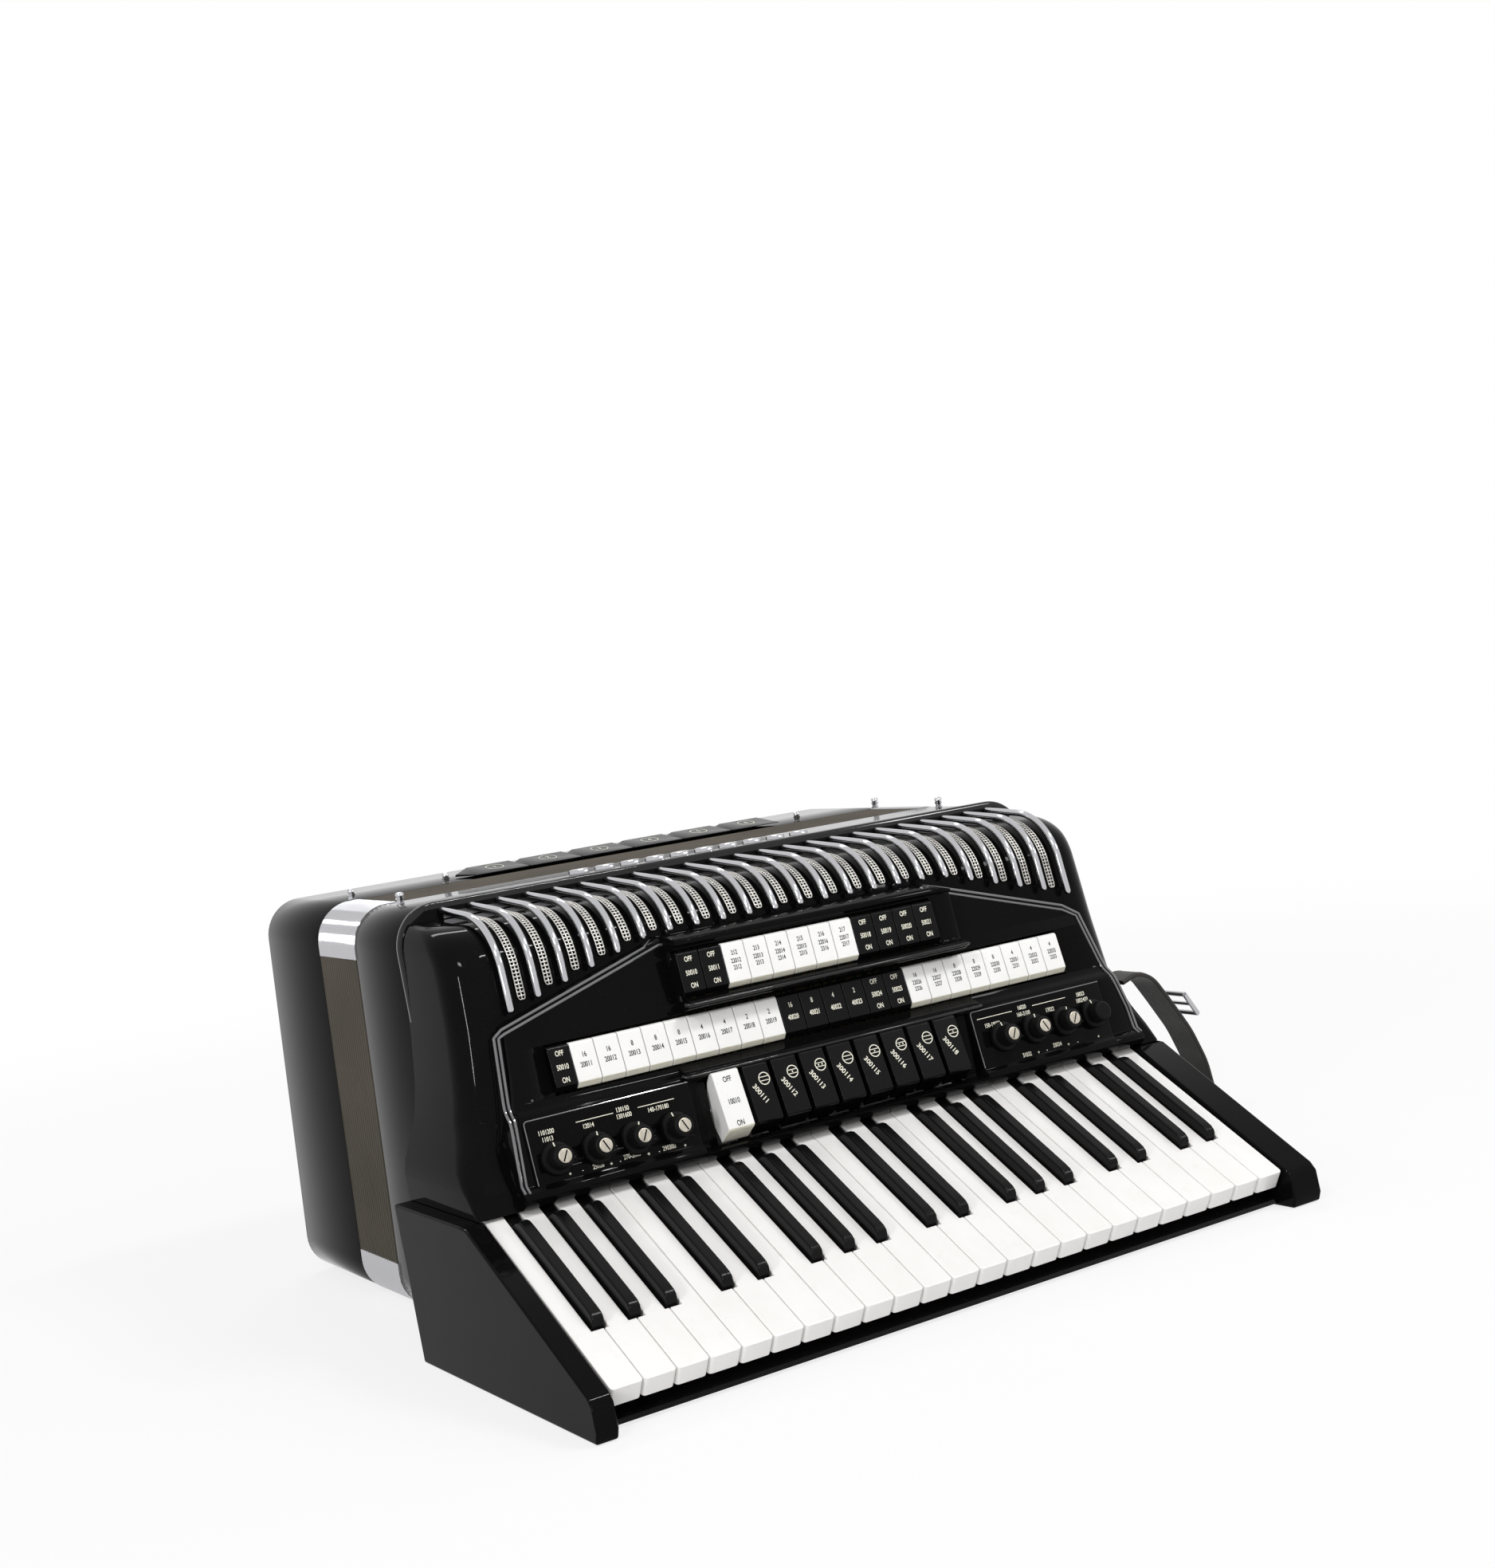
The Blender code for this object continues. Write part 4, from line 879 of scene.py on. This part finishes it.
prints = Shells(ink)
for x0, x1, z in ((64.0, 88.0, 43.1), (104.0, 128.0, 42.8), (351.3, 379.7, 44.6), (396.5, 424.4, 44.9)):
    stroke(prints, x0, x1, -0.22, 0.22, panel_spot(0.0, z))
for text, x, z in (("1101200", 44.8, 41.8), ("11013", 44.8, 38.0), ("12014", 71.0, 39.8), ("130150", 94.2, 44.0),
                   ("1301600", 94.2, 40.4), ("140-170180", 116.5, 39.8), ("150-19000", 362.0, 39.6),
                   ("16020", 388.0, 45.4), ("160-2100", 388.0, 41.4), ("17022", 409.5, 39.9), ("18023", 437.0, 44.6),
                   ("1802400", 437.0, 40.8), ("25026", 71.0, 17.6), ("270-2800", 93.0, 18.4), ("290300", 117.2, 17.6),
                   ("31032", 382.0, 16.8), ("33034", 407.5, 18.0)):
    lettering(prints, text, 2.6, panel_spot(x, z), 0.0, 0.78)
for x, z in ((53.1, 17.3), (79.2, 16.9), (103.5, 16.9), (127.5, 16.4), (391.4, 16.3), (416.4, 16.4), (442.0, 16.4)):
    lettering(prints, "+", 2.2, panel_spot(x, z))
for x, z in ((61.1, 17.6), (85.0, 17.2), (110.4, 17.0), (398.3, 16.6), (424.2, 16.6)):
    lettering(prints, "-", 2.2, panel_spot(x, z))
prints.made("panel_prints", "treble_body", tidy=False)

# Knobs: black plastic on a turned shaft, a skirt with a pointer, a grip and a spun cap.
knob_black = Finish("knob_plastic", {"Specular IOR Level": 0.07})
scuff = knob_black.noise(700.0, 2.0)
knob_black.coloured(knob_black.mixed(scuff, (0.003, 0.003, 0.003, 1), (0.007, 0.007, 0.007, 1)))
knob_black.roughened(0.30 + scuff * 0.2)
knob_black.raised(scuff, 0.00005)
spun = Finish("spun_aluminium", {"Metallic": 1.0})
turned = spun.noise(900.0, 2.0, (1.0, 0.2, 0.2))
spun.coloured(spun.mixed(turned, (0.36, 0.33, 0.27, 1), (0.62, 0.58, 0.50, 1)))
spun.roughened(0.26 + turned * 0.25)
spun.raised(turned, 0.00004)
for stem, (centres, z) in KNOBS.items():
    for number, x in enumerate(centres):
        base = on_face(x, z)
        name = stem + "_" + str(number + 1)
        grip = Shells(knob_black, spun, ink)
        grip.peg(base, FACE_OUT, [(-14.0, 3.0), (0.35, 3.0), (0.4, 9.2), (0.8, 9.5), (2.9, 9.4), (3.6, 8.9), (3.9, 7.6), (4.0, 6.9)], 40)
        body = [(3.5, 6.6), (4.4, 6.6), (11.4, 6.25), (12.1, 5.9), (12.5, 5.2), (12.5, 4.9)]
        grip.peg(base, FACE_OUT, body, 72, ribs=[0.16, 0.16, 0.16, 0.04, 0.0, 0.0])
        if name != "knob_right_4":
            grip.tone = 1
            grip.peg(base, FACE_OUT, [(12.2, 4.1), (12.9, 4.1), (13.2, 3.9), (13.3, 3.6), (13.24, 3.1), (13.3, 2.6), (13.24, 0.05)], 40)
            grip.tone = 0
            # A thin strip of the knob's black plastic laid across each cap stands in for the cap's slot: painted shade
            # where a groove would be.
            turn = radians(115.0 if number % 2 else 60.0)
            along = Vector((cos(turn), 0, 0)) + Vector((0.0, *FACE_UP)) * sin(turn)
            across = FACE_OUT.cross(along)
            middle = base + FACE_OUT * 13.22
            quad = [middle + along * a + across * b for a, b in ((-3.4, -0.42), (3.4, -0.42), (3.4, 0.42), (-3.4, 0.42))]
            grip.loft([quad, [p + FACE_OUT * 0.12 for p in quad]])
        grip.tone = 2
        sweep = radians((96.0, 84.0, 70.0, 100.0)[number])
        along = Vector((cos(sweep), 0, 0)) + Vector((0.0, *FACE_UP)) * sin(sweep)
        across = FACE_OUT.cross(along)
        middle = base + FACE_OUT * 3.98
        quad = [middle + along * a + across * b for a, b in ((6.7, -0.4), (9.0, -0.4), (9.0, 0.4), (6.7, 0.4))]
        quad = [p - FACE_OUT * (0.5 if (p - middle).length > 8.5 else 0.0) for p in quad]
        grip.loft([quad, [p + FACE_OUT * 0.14 for p in quad]])
        grip.made(name + "_knob", name, "black_plastic", (name,), crease=40)

# Rocker tabs: moulded caps side by side on a steel shaft, white or black, with a chamfer
# along the foot that has yellowed on the white ones.
white_tab = Finish("white_tab_plastic", {"IOR": 1.5})
aged = white_tab.noise(45.0, 3.0)
white_tab.coloured(white_tab.mixed(aged, (0.88, 0.875, 0.86, 1), (0.80, 0.795, 0.775, 1)))
white_tab.roughened(0.22 + white_tab.noise(300.0, 3.0) * 0.16)
white_tab.raised(white_tab.noise(110.0, 2.0), 0.00012, 0.3)
cream = Finish("yellowed_chamfer", {"IOR": 1.5, "Roughness": 0.32})
dirt = cream.noise(260.0, 4.0)
cream.coloured(cream.mixed(dirt, (0.86, 0.84, 0.74, 1), (0.74, 0.70, 0.55, 1)))
cream.raised(dirt, 0.0001)
black_tab = Finish("black_tab_plastic", {"Specular IOR Level": 0.11})
shade = black_tab.noise(60.0, 3.0)
black_tab.coloured(black_tab.mixed(shade, (0.002, 0.002, 0.0025, 1), (0.004, 0.004, 0.004, 1)))
black_tab.roughened(0.15 + black_tab.noise(500.0, 2.0) * 0.10)
black_tab.raised(black_tab.noise(60.0, 1.0), 0.0001, 0.2)

WHITE_TABS = {"upper_tabs": range(2, 8), "middle_tabs": list(range(1, 10)) + list(range(16, 24)), "lower_tabs": [0]}
FOOTAGES = ("16", "16", "8", "8", "8", "4", "4", "2", "2", "16", "8", "4", "2", "1", "6", "16", "16", "8", "8", "8", "4", "4", "4")
for row in ROWS.values():
    tall = row.long
    deep = AXLE_DEEP[row.name]
    apart = 0.3
    outline = [(-0.8, -4.4), (-0.7, -3.0), (2.0, 0.0)]
    if row.name == "lower_tabs":
        apart = 1.5
        outline = [(-1.6, -12.4), (2.2, -1.0), (3.2, 0.0)]
    outline += [(tall - 0.9, 0.0), (tall + 0.3, -0.9), (tall + 0.8, -2.8), (tall - 3.0, -8.0)]
    outline += [(tall / 2 + 3.0, -deep - 2.4), (tall / 2 - 3.0, -deep - 2.4), (3.0, -deep + 1.0)]
    side = [tuple(row.at(u, v)) for u, v in outline]
    tabs = Shells(black_tab, white_tab, cream, steel)
    marks = Shells(ink, dark_ink)
    for number, (x0, x1) in enumerate(zip(row.edges, row.edges[1:])):
        white = number in WHITE_TABS[row.name]
        tabs.tone = 1 if white else 0
        first = len(tabs.tones)
        tabs.prism(side, x0 + apart, x1 - apart)
        if white:
            tabs.tones[first:first + 2] = [2, 2]
        middle = (x0 + x1) / 2
        marks.tone = 1 if white else 0
        if row.name == "lower_tabs" and number:
            spot = row.face(middle + 3.6, tall - 10.0)
            ring_mark(marks, 3.6, 0.6, spot)
            stroke(marks, -3.4, 3.4, 0.9, 1.35, spot)
            stroke(marks, -3.4, 3.4, -1.35, -0.9, spot)
            for right in ((-1.3, 1.3), (), (0.0,))[number % 3]:
                ring_mark(marks, 0.25, 0.5, row.face(middle + 3.6 + right, tall - 10.0), 10)
            lettering(marks, str(300110 + number), 3.1, row.face(middle - 1.8, tall - 18.3), radians(-63.0), 1.0)
            continue
        if row.name == "lower_tabs":
            lines = (("OFF", 0.86, 3.2), ("10010", 0.50, 3.2), ("ON", 0.15, 3.2))
        elif white and number < 16 and row.name == "middle_tabs":
            lines = ((FOOTAGES[number - 1], 0.68, 3.0), (str(20010 + number), 0.45, 3.0))
        elif white:
            first_line = FOOTAGES[number - 1] if number > 15 else str(210 + number)
            lines = ((first_line, 0.75, 2.8), (str(22010 + number), 0.56, 2.7), (str(2310 + number), 0.40, 2.7))
        elif row.name == "middle_tabs" and 9 < number < 14:
            lines = ((FOOTAGES[number - 1], 0.72, 3.0), (str(40010 + number), 0.42, 3.0))
        else:
            lines = (("OFF", 0.82, 3.0), (str(50010 + number), 0.50, 3.0), ("ON", 0.20, 3.0))
        for text, share, high in lines:
            lettering(marks, text, high, row.face(middle, tall * share), 0.0, 0.72)
    tabs.made(row.name + "_caps", row.name, "ivory_tabs", (row.name,), ease=0.5, rings=3, crease=24)
    shaft = Shells(steel)
    shaft.peg((row.edges[0] + 0.5, *row.at(tall / 2, -deep)), (1, 0, 0), [(0.0, 1.8), (row.edges[-1] - row.edges[0] - 1.0, 1.8)])
    shaft.made(row.name + "_shaft", row.name)
    marks.made(row.name + "_marks", row.name, tidy=False)

# The grille: bent chrome tubes over the shoulder, each on a short foot, with a strip of
# punched brass sheet between every two, all under a rail at the back.
chrome = Finish("chrome", {"Metallic": 1.0})
smear = chrome.noise(130.0, 3.0, (1.0, 0.3, 1.0))
pits = chrome.noise(1500.0, 1.0).between(0.70, 0.76)
chrome.coloured(chrome.mixed(pits * 0.5, (0.50, 0.50, 0.52, 1), (0.32, 0.30, 0.26, 1)))
chrome.roughened(0.06 + smear * 0.08 + pits * 0.2)
chrome.raised(smear, 0.00005, 0.3)
punched = Finish("punched_strip", {"Metallic": 1.0})
dull = punched.noise(500.0, 3.0)
punched.coloured(punched.mixed(dull, (0.62, 0.61, 0.58, 1), (0.44, 0.42, 0.39, 1)))
punched.roughened(0.24 + dull * 0.16)
punched.raised(dull, 0.00006)
BARS = 23
BAR_FIRST = 47.7
BAR_PITCH = 18.8
BAR_RISE = 4.7
BAR_RADIUS = 2.2


def bar_low(index):
    return min(134.3, 107.8 + 5.1 * min(index, BARS - 1 - index))


bars = Shells(chrome)
for index in range(BARS):
    x = BAR_FIRST + BAR_PITCH * index
    path = bend_path(BAR_RISE, bar_low(index), TOP_Y, 20)
    spots = [Vector((x, *p)) for p in path]
    reach = (spots[0] - spots[1]).normalized()
    bars.rod(spots, BAR_RADIUS, 16, round_start=True)
    out = Vector((0.0, -abs(reach.z), abs(reach.y))).normalized()
    start = spots[0] - reach * 2.6
    bars.peg(start, -out, [(0.0, 1.5), (BAR_RISE - 0.1, 1.5)], 12)
rail = bend_path(0.5, 107.8, TOP_Y - 0.8)[-1]
rail_out = Vector((-TOP_RUN.y, TOP_RUN.x))
corners = [rail, rail - TOP_RUN * 3.0, rail - TOP_RUN * 3.0 + rail_out * 3.4, rail + rail_out * 3.4]
bars.prism([tuple(p) for p in corners], BAR_FIRST - 1.0, BAR_FIRST + BAR_PITCH * (BARS - 1) + 1.0)
bars.made("grille_bars", "treble_body", "chrome", ("treble_grille",), crease=50)

HOLE_STEP = 2.2
strips = Shells(punched)
for index in range(BARS - 1):
    x = BAR_FIRST + BAR_PITCH * (index + 0.5)
    low = (bar_low(index) + bar_low(index + 1)) / 2 + 1.0
    path = bend_path(1.2, low, TOP_Y - 1.0, 26)
    lengths = [0.0]
    for a, b in zip(path, path[1:]):
        lengths.append(lengths[-1] + (b - a).length)

    def along(far):
        for a, b, l0, l1 in zip(path, path[1:], lengths, lengths[1:]):
            if far <= l1:
                return a + (b - a) * ((far - l0) / max(l1 - l0, 1e-6))
        return path[-1]

    rows = int(lengths[-1] / HOLE_STEP)
    levels = [0.0]
    for i in range(rows):
        levels += [0.35 + HOLE_STEP * i + 0.3, 0.35 + HOLE_STEP * (i + 1) - 0.3]
    levels.append(lengths[-1])
    columns = [-2.6]
    for i in range(2):
        columns += [-2.3 + 2.3 * i + 0.3, -2.3 + 2.3 * (i + 1) - 0.3]
    columns.append(2.6)
    verts = []
    for far in levels:
        p = along(far)
        narrow = sqrt(max(1.0 - max(1.0 - (far + 0.35) / 2.6, 0.0) ** 2, 0.05))
        verts += [(x + 0.8 + c * narrow, p.x, p.y) for c in columns]
    wide = len(columns)
    faces = []
    for j in range(len(levels) - 1):
        for i in range(wide - 1):
            if i % 2 == 1 and j % 2 == 1:
                continue
            a = j * wide + i
            faces.append([a, a + 1, a + wide + 1, a + wide])
    strips.add(verts, faces)
strip_piece = strips.made("grille_strips", "treble_body", "chrome")
thick = strip_piece.modifiers.new("sheet", "SOLIDIFY")
thick.thickness = 0.45 * MM
thick.offset = 0.0

# Bellows: eighteen folds of card and cloth, with ribbed chrome protectors at the corners.
cloth = Finish("bellows_cloth", {"Roughness": 0.75, "Specular IOR Level": 0.3})
weave = cloth.noise(1100.0, 2.0)
fade = cloth.noise(18.0, 3.0)
cloth.coloured(cloth.mixed(fade, (0.055, 0.048, 0.040, 1), (0.105, 0.092, 0.072, 1)))
cloth.raised(weave, 0.0002, 0.6)
FIRST_FOLD = CASING_END + GAP
LAST_FOLD = 244.0 - GAP
FOLDS = 18
folds = Shells(cloth)
outside = []
for step in range(2 * FOLDS + 1):
    y = FIRST_FOLD + (LAST_FOLD - FIRST_FOLD) * step / (2 * FOLDS)
    if step % 2:
        outside.append([(x, y, z) for x, z in ring_outline(13.0, 8)])
    else:
        for inset, shift in ((0.5, -0.5), (0.0, -0.2), (0.0, 0.2), (0.5, 0.5)):
            if FIRST_FOLD <= y + shift <= LAST_FOLD:
                outside.append([(x, y + shift, z) for x, z in ring_outline(inset, 8)])
inside = [[(x, y, z) for x, z in ring_outline(19.0, 8)] for y in (LAST_FOLD, FIRST_FOLD)]
folds.loft(outside + inside, ends="ring")
bellows_piece = folds.made("bellows_folds", None, "bellows_cloth", ("bellows",), crease=60)
guards = Shells(chrome)
for step in range(0, 2 * FOLDS + 1, 2):
    y = FIRST_FOLD + (LAST_FOLD - FIRST_FOLD) * step / (2 * FOLDS)
    y = min(max(y, FIRST_FOLD + 1.1), LAST_FOLD - 1.1)
    for cx, cz, first in ((BODY_RIGHT - CORNER, TOP_Z - CORNER, 0), (BODY_LEFT + CORNER, TOP_Z - CORNER, 1),
                          (BODY_LEFT + CORNER, BACK_Z + CORNER, 2), (BODY_RIGHT - CORNER, BACK_Z + CORNER, 3)):
        loops = []
        for part in [-0.35] + [i / 12 for i in range(13)] + [1.35]:
            turn = pi / 2 * (first + min(max(part, 0.0), 1.0))
            run = Vector((-sin(turn), cos(turn)))
            out = Vector((cos(turn), sin(turn)))
            slide = run * (part - min(max(part, 0.0), 1.0)) * 20.0
            loop = []
            for inset, shift in ((5.0, -1.05), (0.8, -1.05), (0.0, -0.7), (-0.3, -0.2), (-0.3, 0.2), (0.0, 0.7), (0.8, 1.05), (5.0, 1.05)):
                spot = Vector((cx, cz)) + out * (CORNER - inset) + slide
                loop.append((spot.x, y + shift, spot.y))
            loops.append(loop)
        guards.loft(loops)
guard_piece = guards.made("bellows_guards", None, "chrome", crease=40)
for piece in (bellows_piece, guard_piece):
    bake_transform(piece)

# Chrome pins with a head stand along the front edges and lock the bellows frames.
PIN = [(-1.0, 2.6), (0.7, 2.6), (0.9, 2.1), (2.6, 2.1), (2.9, 2.6), (3.9, 2.6), (4.2, 2.0), (4.8, 2.0), (5.1, 2.7), (6.5, 2.5), (7.2, 1.7)]
for body, spots in (("treble_body", ((46.0, 166.0), (463.0, 166.0))),
                    ("bass_body", ((49.0, 250.0), (468.0, 250.0), (115.0, 248.0), (396.0, 248.0)))):
    pins = Shells(chrome)
    for x, y in spots:
        pins.peg((x, y, TOP_Z), (0, 0, 1), PIN, 20)
    pins.made(body + "_pins", body, "chrome", crease=50)

# Chrome trim: a row of plain lozenges on the casing's front, and a ring for the shoulder
# strap on a small plate at each end.
trim = Shells(chrome)
for number in range(10):
    x = 159.0 + 18.4 * number
    y = 158.5 - 0.7 * number
    outline = [(x, y), (x + 3.4, y - 2.4), (x + 12.4, y - 2.4), (x + 15.0, y), (x + 11.8, y + 2.4), (x + 2.8, y + 2.4)]
    low = [(px, py, TOP_Z - 0.5) for px, py in outline]
    middle = Vector((x + 7.5, y))
    high = []
    for px, py in outline:
        spot = middle + (Vector((px, py)) - middle) * 0.86
        high.append((spot.x, spot.y, TOP_Z + 2.6))
    trim.loft([low, [(px, py, TOP_Z + 2.0) for px, py in outline], high])
for x, side in ((BODY_LEFT, -1), (BODY_RIGHT, 1)):
    trim.box(*sorted((x - side * 0.5, x + side * 1.3)), 138.0, 160.0, -66.0, -50.0)
    for y in (141.5, 156.5):
        trim.peg((x + side * 1.2, y, -58.0), (side, 0, 0), [(0.0, 1.9), (0.5, 1.7), (0.9, 0.8)], 16)
    ring = []
    for i in range(25):
        turn = pi * i / 24
        ring.append(Vector((x + side * 2.6, 149.0 + 8.0 * cos(turn), -64.0 - 9.0 * sin(turn))))
    trim.rod(ring, 1.2, 10)
    trim.rod([ring[-1], ring[0]], 1.2, 10)
trim.made("casing_trim", "treble_body", "chrome", crease=40)

# The bass casing: the same lacquered box behind the bellows, with a plate behind the hand,
# a lower board for the buttons, reed blocks inside and the leather hand strap.
HAND_TOP = 60.0
BASS_END = 340.0
BOARD_FACE = 318.0
BELLOWS_END = 244.0
bass = Shells(celluloid, wood)
tube(bass, lambda z: BELLOWS_END, lambda z: BASS_END if z < HAND_TOP + 2.0 else BASS_END - 6.0)
inside = ring_outline(WALL - 1.0)
hand = [(BODY_LEFT + WALL - 1.0, HAND_TOP)] + [(x, z) for x, z in inside if z < HAND_TOP]
hand.append((BODY_RIGHT - WALL + 1.0, HAND_TOP))
bass.plate(hand, BASS_END - 5.5, BASS_END - 0.5)
bass.box(BODY_LEFT + 5.0, BODY_RIGHT - 5.0, BOARD_FACE - 4.0, BASS_END - 4.0, HAND_TOP - 5.0, HAND_TOP - 0.5)
BUTTON_RADIUS = 4.2
ROW_STEP = 13.0
slats = [HAND_TOP - 4.0]
for number in range(6):
    centre = 78.0 + ROW_STEP * number
    slats += [centre - BUTTON_RADIUS - 0.4, centre + BUTTON_RADIUS + 0.4]
slats.append(TOP_Z - 5.0)
for low, high in zip(slats[0::2], slats[1::2]):
    side = 11.0 if high > TOP_Z - CORNER else 5.0
    bass.box(BODY_LEFT + side, BODY_RIGHT - side, BOARD_FACE - 3.6, BOARD_FACE - 0.4, low, high)
for x0, x1 in ((BODY_LEFT + 5.0, 88.0), (421.0, BODY_RIGHT - 5.0)):
    bass.box(x0, x1, BOARD_FACE - 5.0, BOARD_FACE, HAND_TOP - 2.0, TOP_Z - CORNER)
    bass.box(x0 + 5.0, x1 - 5.0, BOARD_FACE - 5.0, BOARD_FACE - 1.0, TOP_Z - CORNER - 1.0, TOP_Z - 8.0)
bass.tone = 1
bass.plate(inside, BELLOWS_END + 30.0, BELLOWS_END + 36.0)
bass.tone = 0
bass.made("bass_casing_shell", "bass_body", "black_celluloid", ("bass_casing",))

leather = Finish("black_leather", {"Specular IOR Level": 0.3})
pores = leather.noise(900.0, 3.0)
crease = leather.noise(140.0, 4.0)
leather.coloured(leather.mixed(crease, (0.010, 0.009, 0.008, 1), (0.026, 0.024, 0.021, 1)))
leather.roughened(0.38 + pores * 0.25)
leather.raised(crease + pores * 0.4, 0.0003, 0.6)
thread = Finish("strap_thread", {"Roughness": 0.8})
twist = thread.noise(3000.0, 1.0)
thread.coloured(thread.mixed(twist, grey(0.05), grey(0.11)))
thread.raised(twist, 0.0001)
BODY_WIDE = BODY_RIGHT - BODY_LEFT
hand_strap = Shells(leather, chrome)
loops = []
for step in range(41):
    share = 2 * step / 40 - 1
    x = BODY_MID + 185.0 * share
    y = BASS_END + 24.0 * (1 - abs(share) ** 4) - 2.0
    loop = []
    for wide, deep in ((-29.0, 0.9), (-28.2, 0.2), (28.2, 0.2), (29.0, 0.9), (29.0, 2.2), (28.0, 3.0), (-28.0, 3.0), (-29.0, 2.2)):
        loop.append((x, y + deep, -10.0 + wide))
    loops.append(loop)
hand_strap.loft(loops)
hand_strap.tone = 1
hand_strap.peg((BODY_MID + 178.0, BASS_END + 2.0, -10.0), (0, 1, 0), [(-2.0, 4.0), (2.6, 4.0), (3.2, 3.4)], 24)
hand_strap.peg((BODY_MID - 178.0, BASS_END + 2.0, -10.0), (0, 1, 0), [(-2.0, 4.0), (2.6, 4.0), (3.2, 3.4)], 24)
hand_strap.made("hand_strap", "bass_body", "black_leather", crease=40)

# Bass buttons: 120 turned buttons in six leaning rows, pushed in by the left hand.
buttons = Shells(white_tab)
first_x = BODY_MID - 15.6 * 19 / 2 - 3.6 * 5 / 2
buttons.box(first_x - 8.0, first_x + 15.6 * 19 + 18.0 + 8.0, BOARD_FACE - 16.0, BOARD_FACE - 13.5, 70.0, 78.0 + ROW_STEP * 5 + 8.0)
for number in range(6):
    for column in range(20):
        spot = (first_x + 15.6 * column + 3.6 * number, BOARD_FACE, 78.0 + ROW_STEP * number)
        levels = [(-15.0, 4.2), (5.6, 4.2), (6.4, 3.9), (6.9, 3.2), (6.7, 1.6), (6.6, 0.05)]
        buttons.peg(spot, (0, 1, 0), levels, 18)
buttons.made("bass_button_set", "bass_buttons", "ivory_plastic", ("bass_buttons",), crease=50)

# Bass registers: six black tabs hinged on the front of the bass casing, with ringed marks.
registers = Shells(black_tab)
marks = Shells(ink)
near = BELLOWS_END + 2.0
for number in range(6):
    x0 = 136.5 + 40.5 * number
    loops = []
    for x, lean, rise in ((x0, -3.5, 2.7), (x0 + 0.5, 4.4, 6.2), (x0 + 38.8, -3.5, 6.2), (x0 + 39.4, -3.5, 5.6)):
        outline = [(0.0, 1.9), (0.0, 2.3), (0.6, 2.5), (23.0, rise), (25.4, rise - 0.2), (26.0, rise - 0.9), (26.0, 1.0)]
        loops.append([(x + lean * y / 26.0, near + y, TOP_Z + z) for y, z in outline])
    registers.loft(loops)

    def on_tab(right, up, x=x0 + 20.0):
        y = near + 13.0 + up
        return (x + right, y, TOP_Z + 2.5 + (y - near - 0.6) * 3.7 / 22.4 + 0.08)

    ring_mark(marks, 6.0, 0.6, on_tab)
    lettering(marks, str(number + 1), 4.0, on_tab)
registers.made("bass_register_tabs", "bass_tabs", "black_plastic", ("bass_tabs",), crease=30)
marks.made("bass_register_marks", "bass_tabs", tidy=False)

# The shoulder strap: doubled leather, stitched along both edges, looped down beside the
# high end of the casing, with a chrome buckle.
STRAP_FROM = cover_right(41.0)
RUN = [(0.6, 40.0), (14.4, 44.0), (27.4, 38.5), (39.4, 22.0), (56.4, -3.0), (67.4, -27.0), (72.4, -52.0)]
RUN += [(78.4, -72.0), (88.4, -82.0), (106.4, -85.0)]
course = eased([(STRAP_FROM + x, z) for x, z in RUN], 7.0, 5)
strap = Shells(leather, thread)
loops = []
seams = ([], [])
for i, point in enumerate(course):
    run = (course[min(i + 1, len(course) - 1)] - course[max(i - 1, 0)]).normalized()
    out = Vector((-run.y, run.x))
    loop = []
    for y, lift in ((28.6, -1.4), (51.4, -1.4), (52.0, -0.8), (52.0, 0.8), (51.4, 1.4), (48.0, 1.7), (32.0, 1.7), (28.6, 1.4),
                    (28.0, 0.8), (28.0, -0.8)):
        spot = point + out * lift
        loop.append((spot.x, y, spot.y))
    loops.append(loop)
    for seam, y in zip(seams, (30.6, 49.4)):
        spot = point + out * 1.55
        seam.append(Vector((spot.x, y, spot.y)))
strap.loft(loops)
strap.tone = 1
for seam in seams:
    strap.rod(seam, 0.35, 6)
strap.made("shoulder_strap", "treble_body", "black_leather", ("shoulder_straps",), crease=40)
buckle = Shells(chrome)
spot = Vector((547.0, 0.0, 13.5))
lean = Vector((0.56, 0.0, -0.83))
frame_line = []
for a, y in ((-9.0, 25.5), (9.0, 25.5), (9.0, 54.5), (-9.0, 54.5)):
    frame_line.append(spot + lean * a + Vector((0.0, y, 0.0)) + Vector((0.83, 0.0, 0.56)) * 3.4)
for a, b in zip(frame_line, frame_line[1:] + frame_line[:1]):
    buckle.rod([a, b], 1.7, 12)
buckle.rod([(frame_line[0] + frame_line[1]) / 2, (frame_line[2] + frame_line[3]) / 2], 1.3, 12)
buckle.made("strap_buckle", "treble_body", "chrome", crease=50)
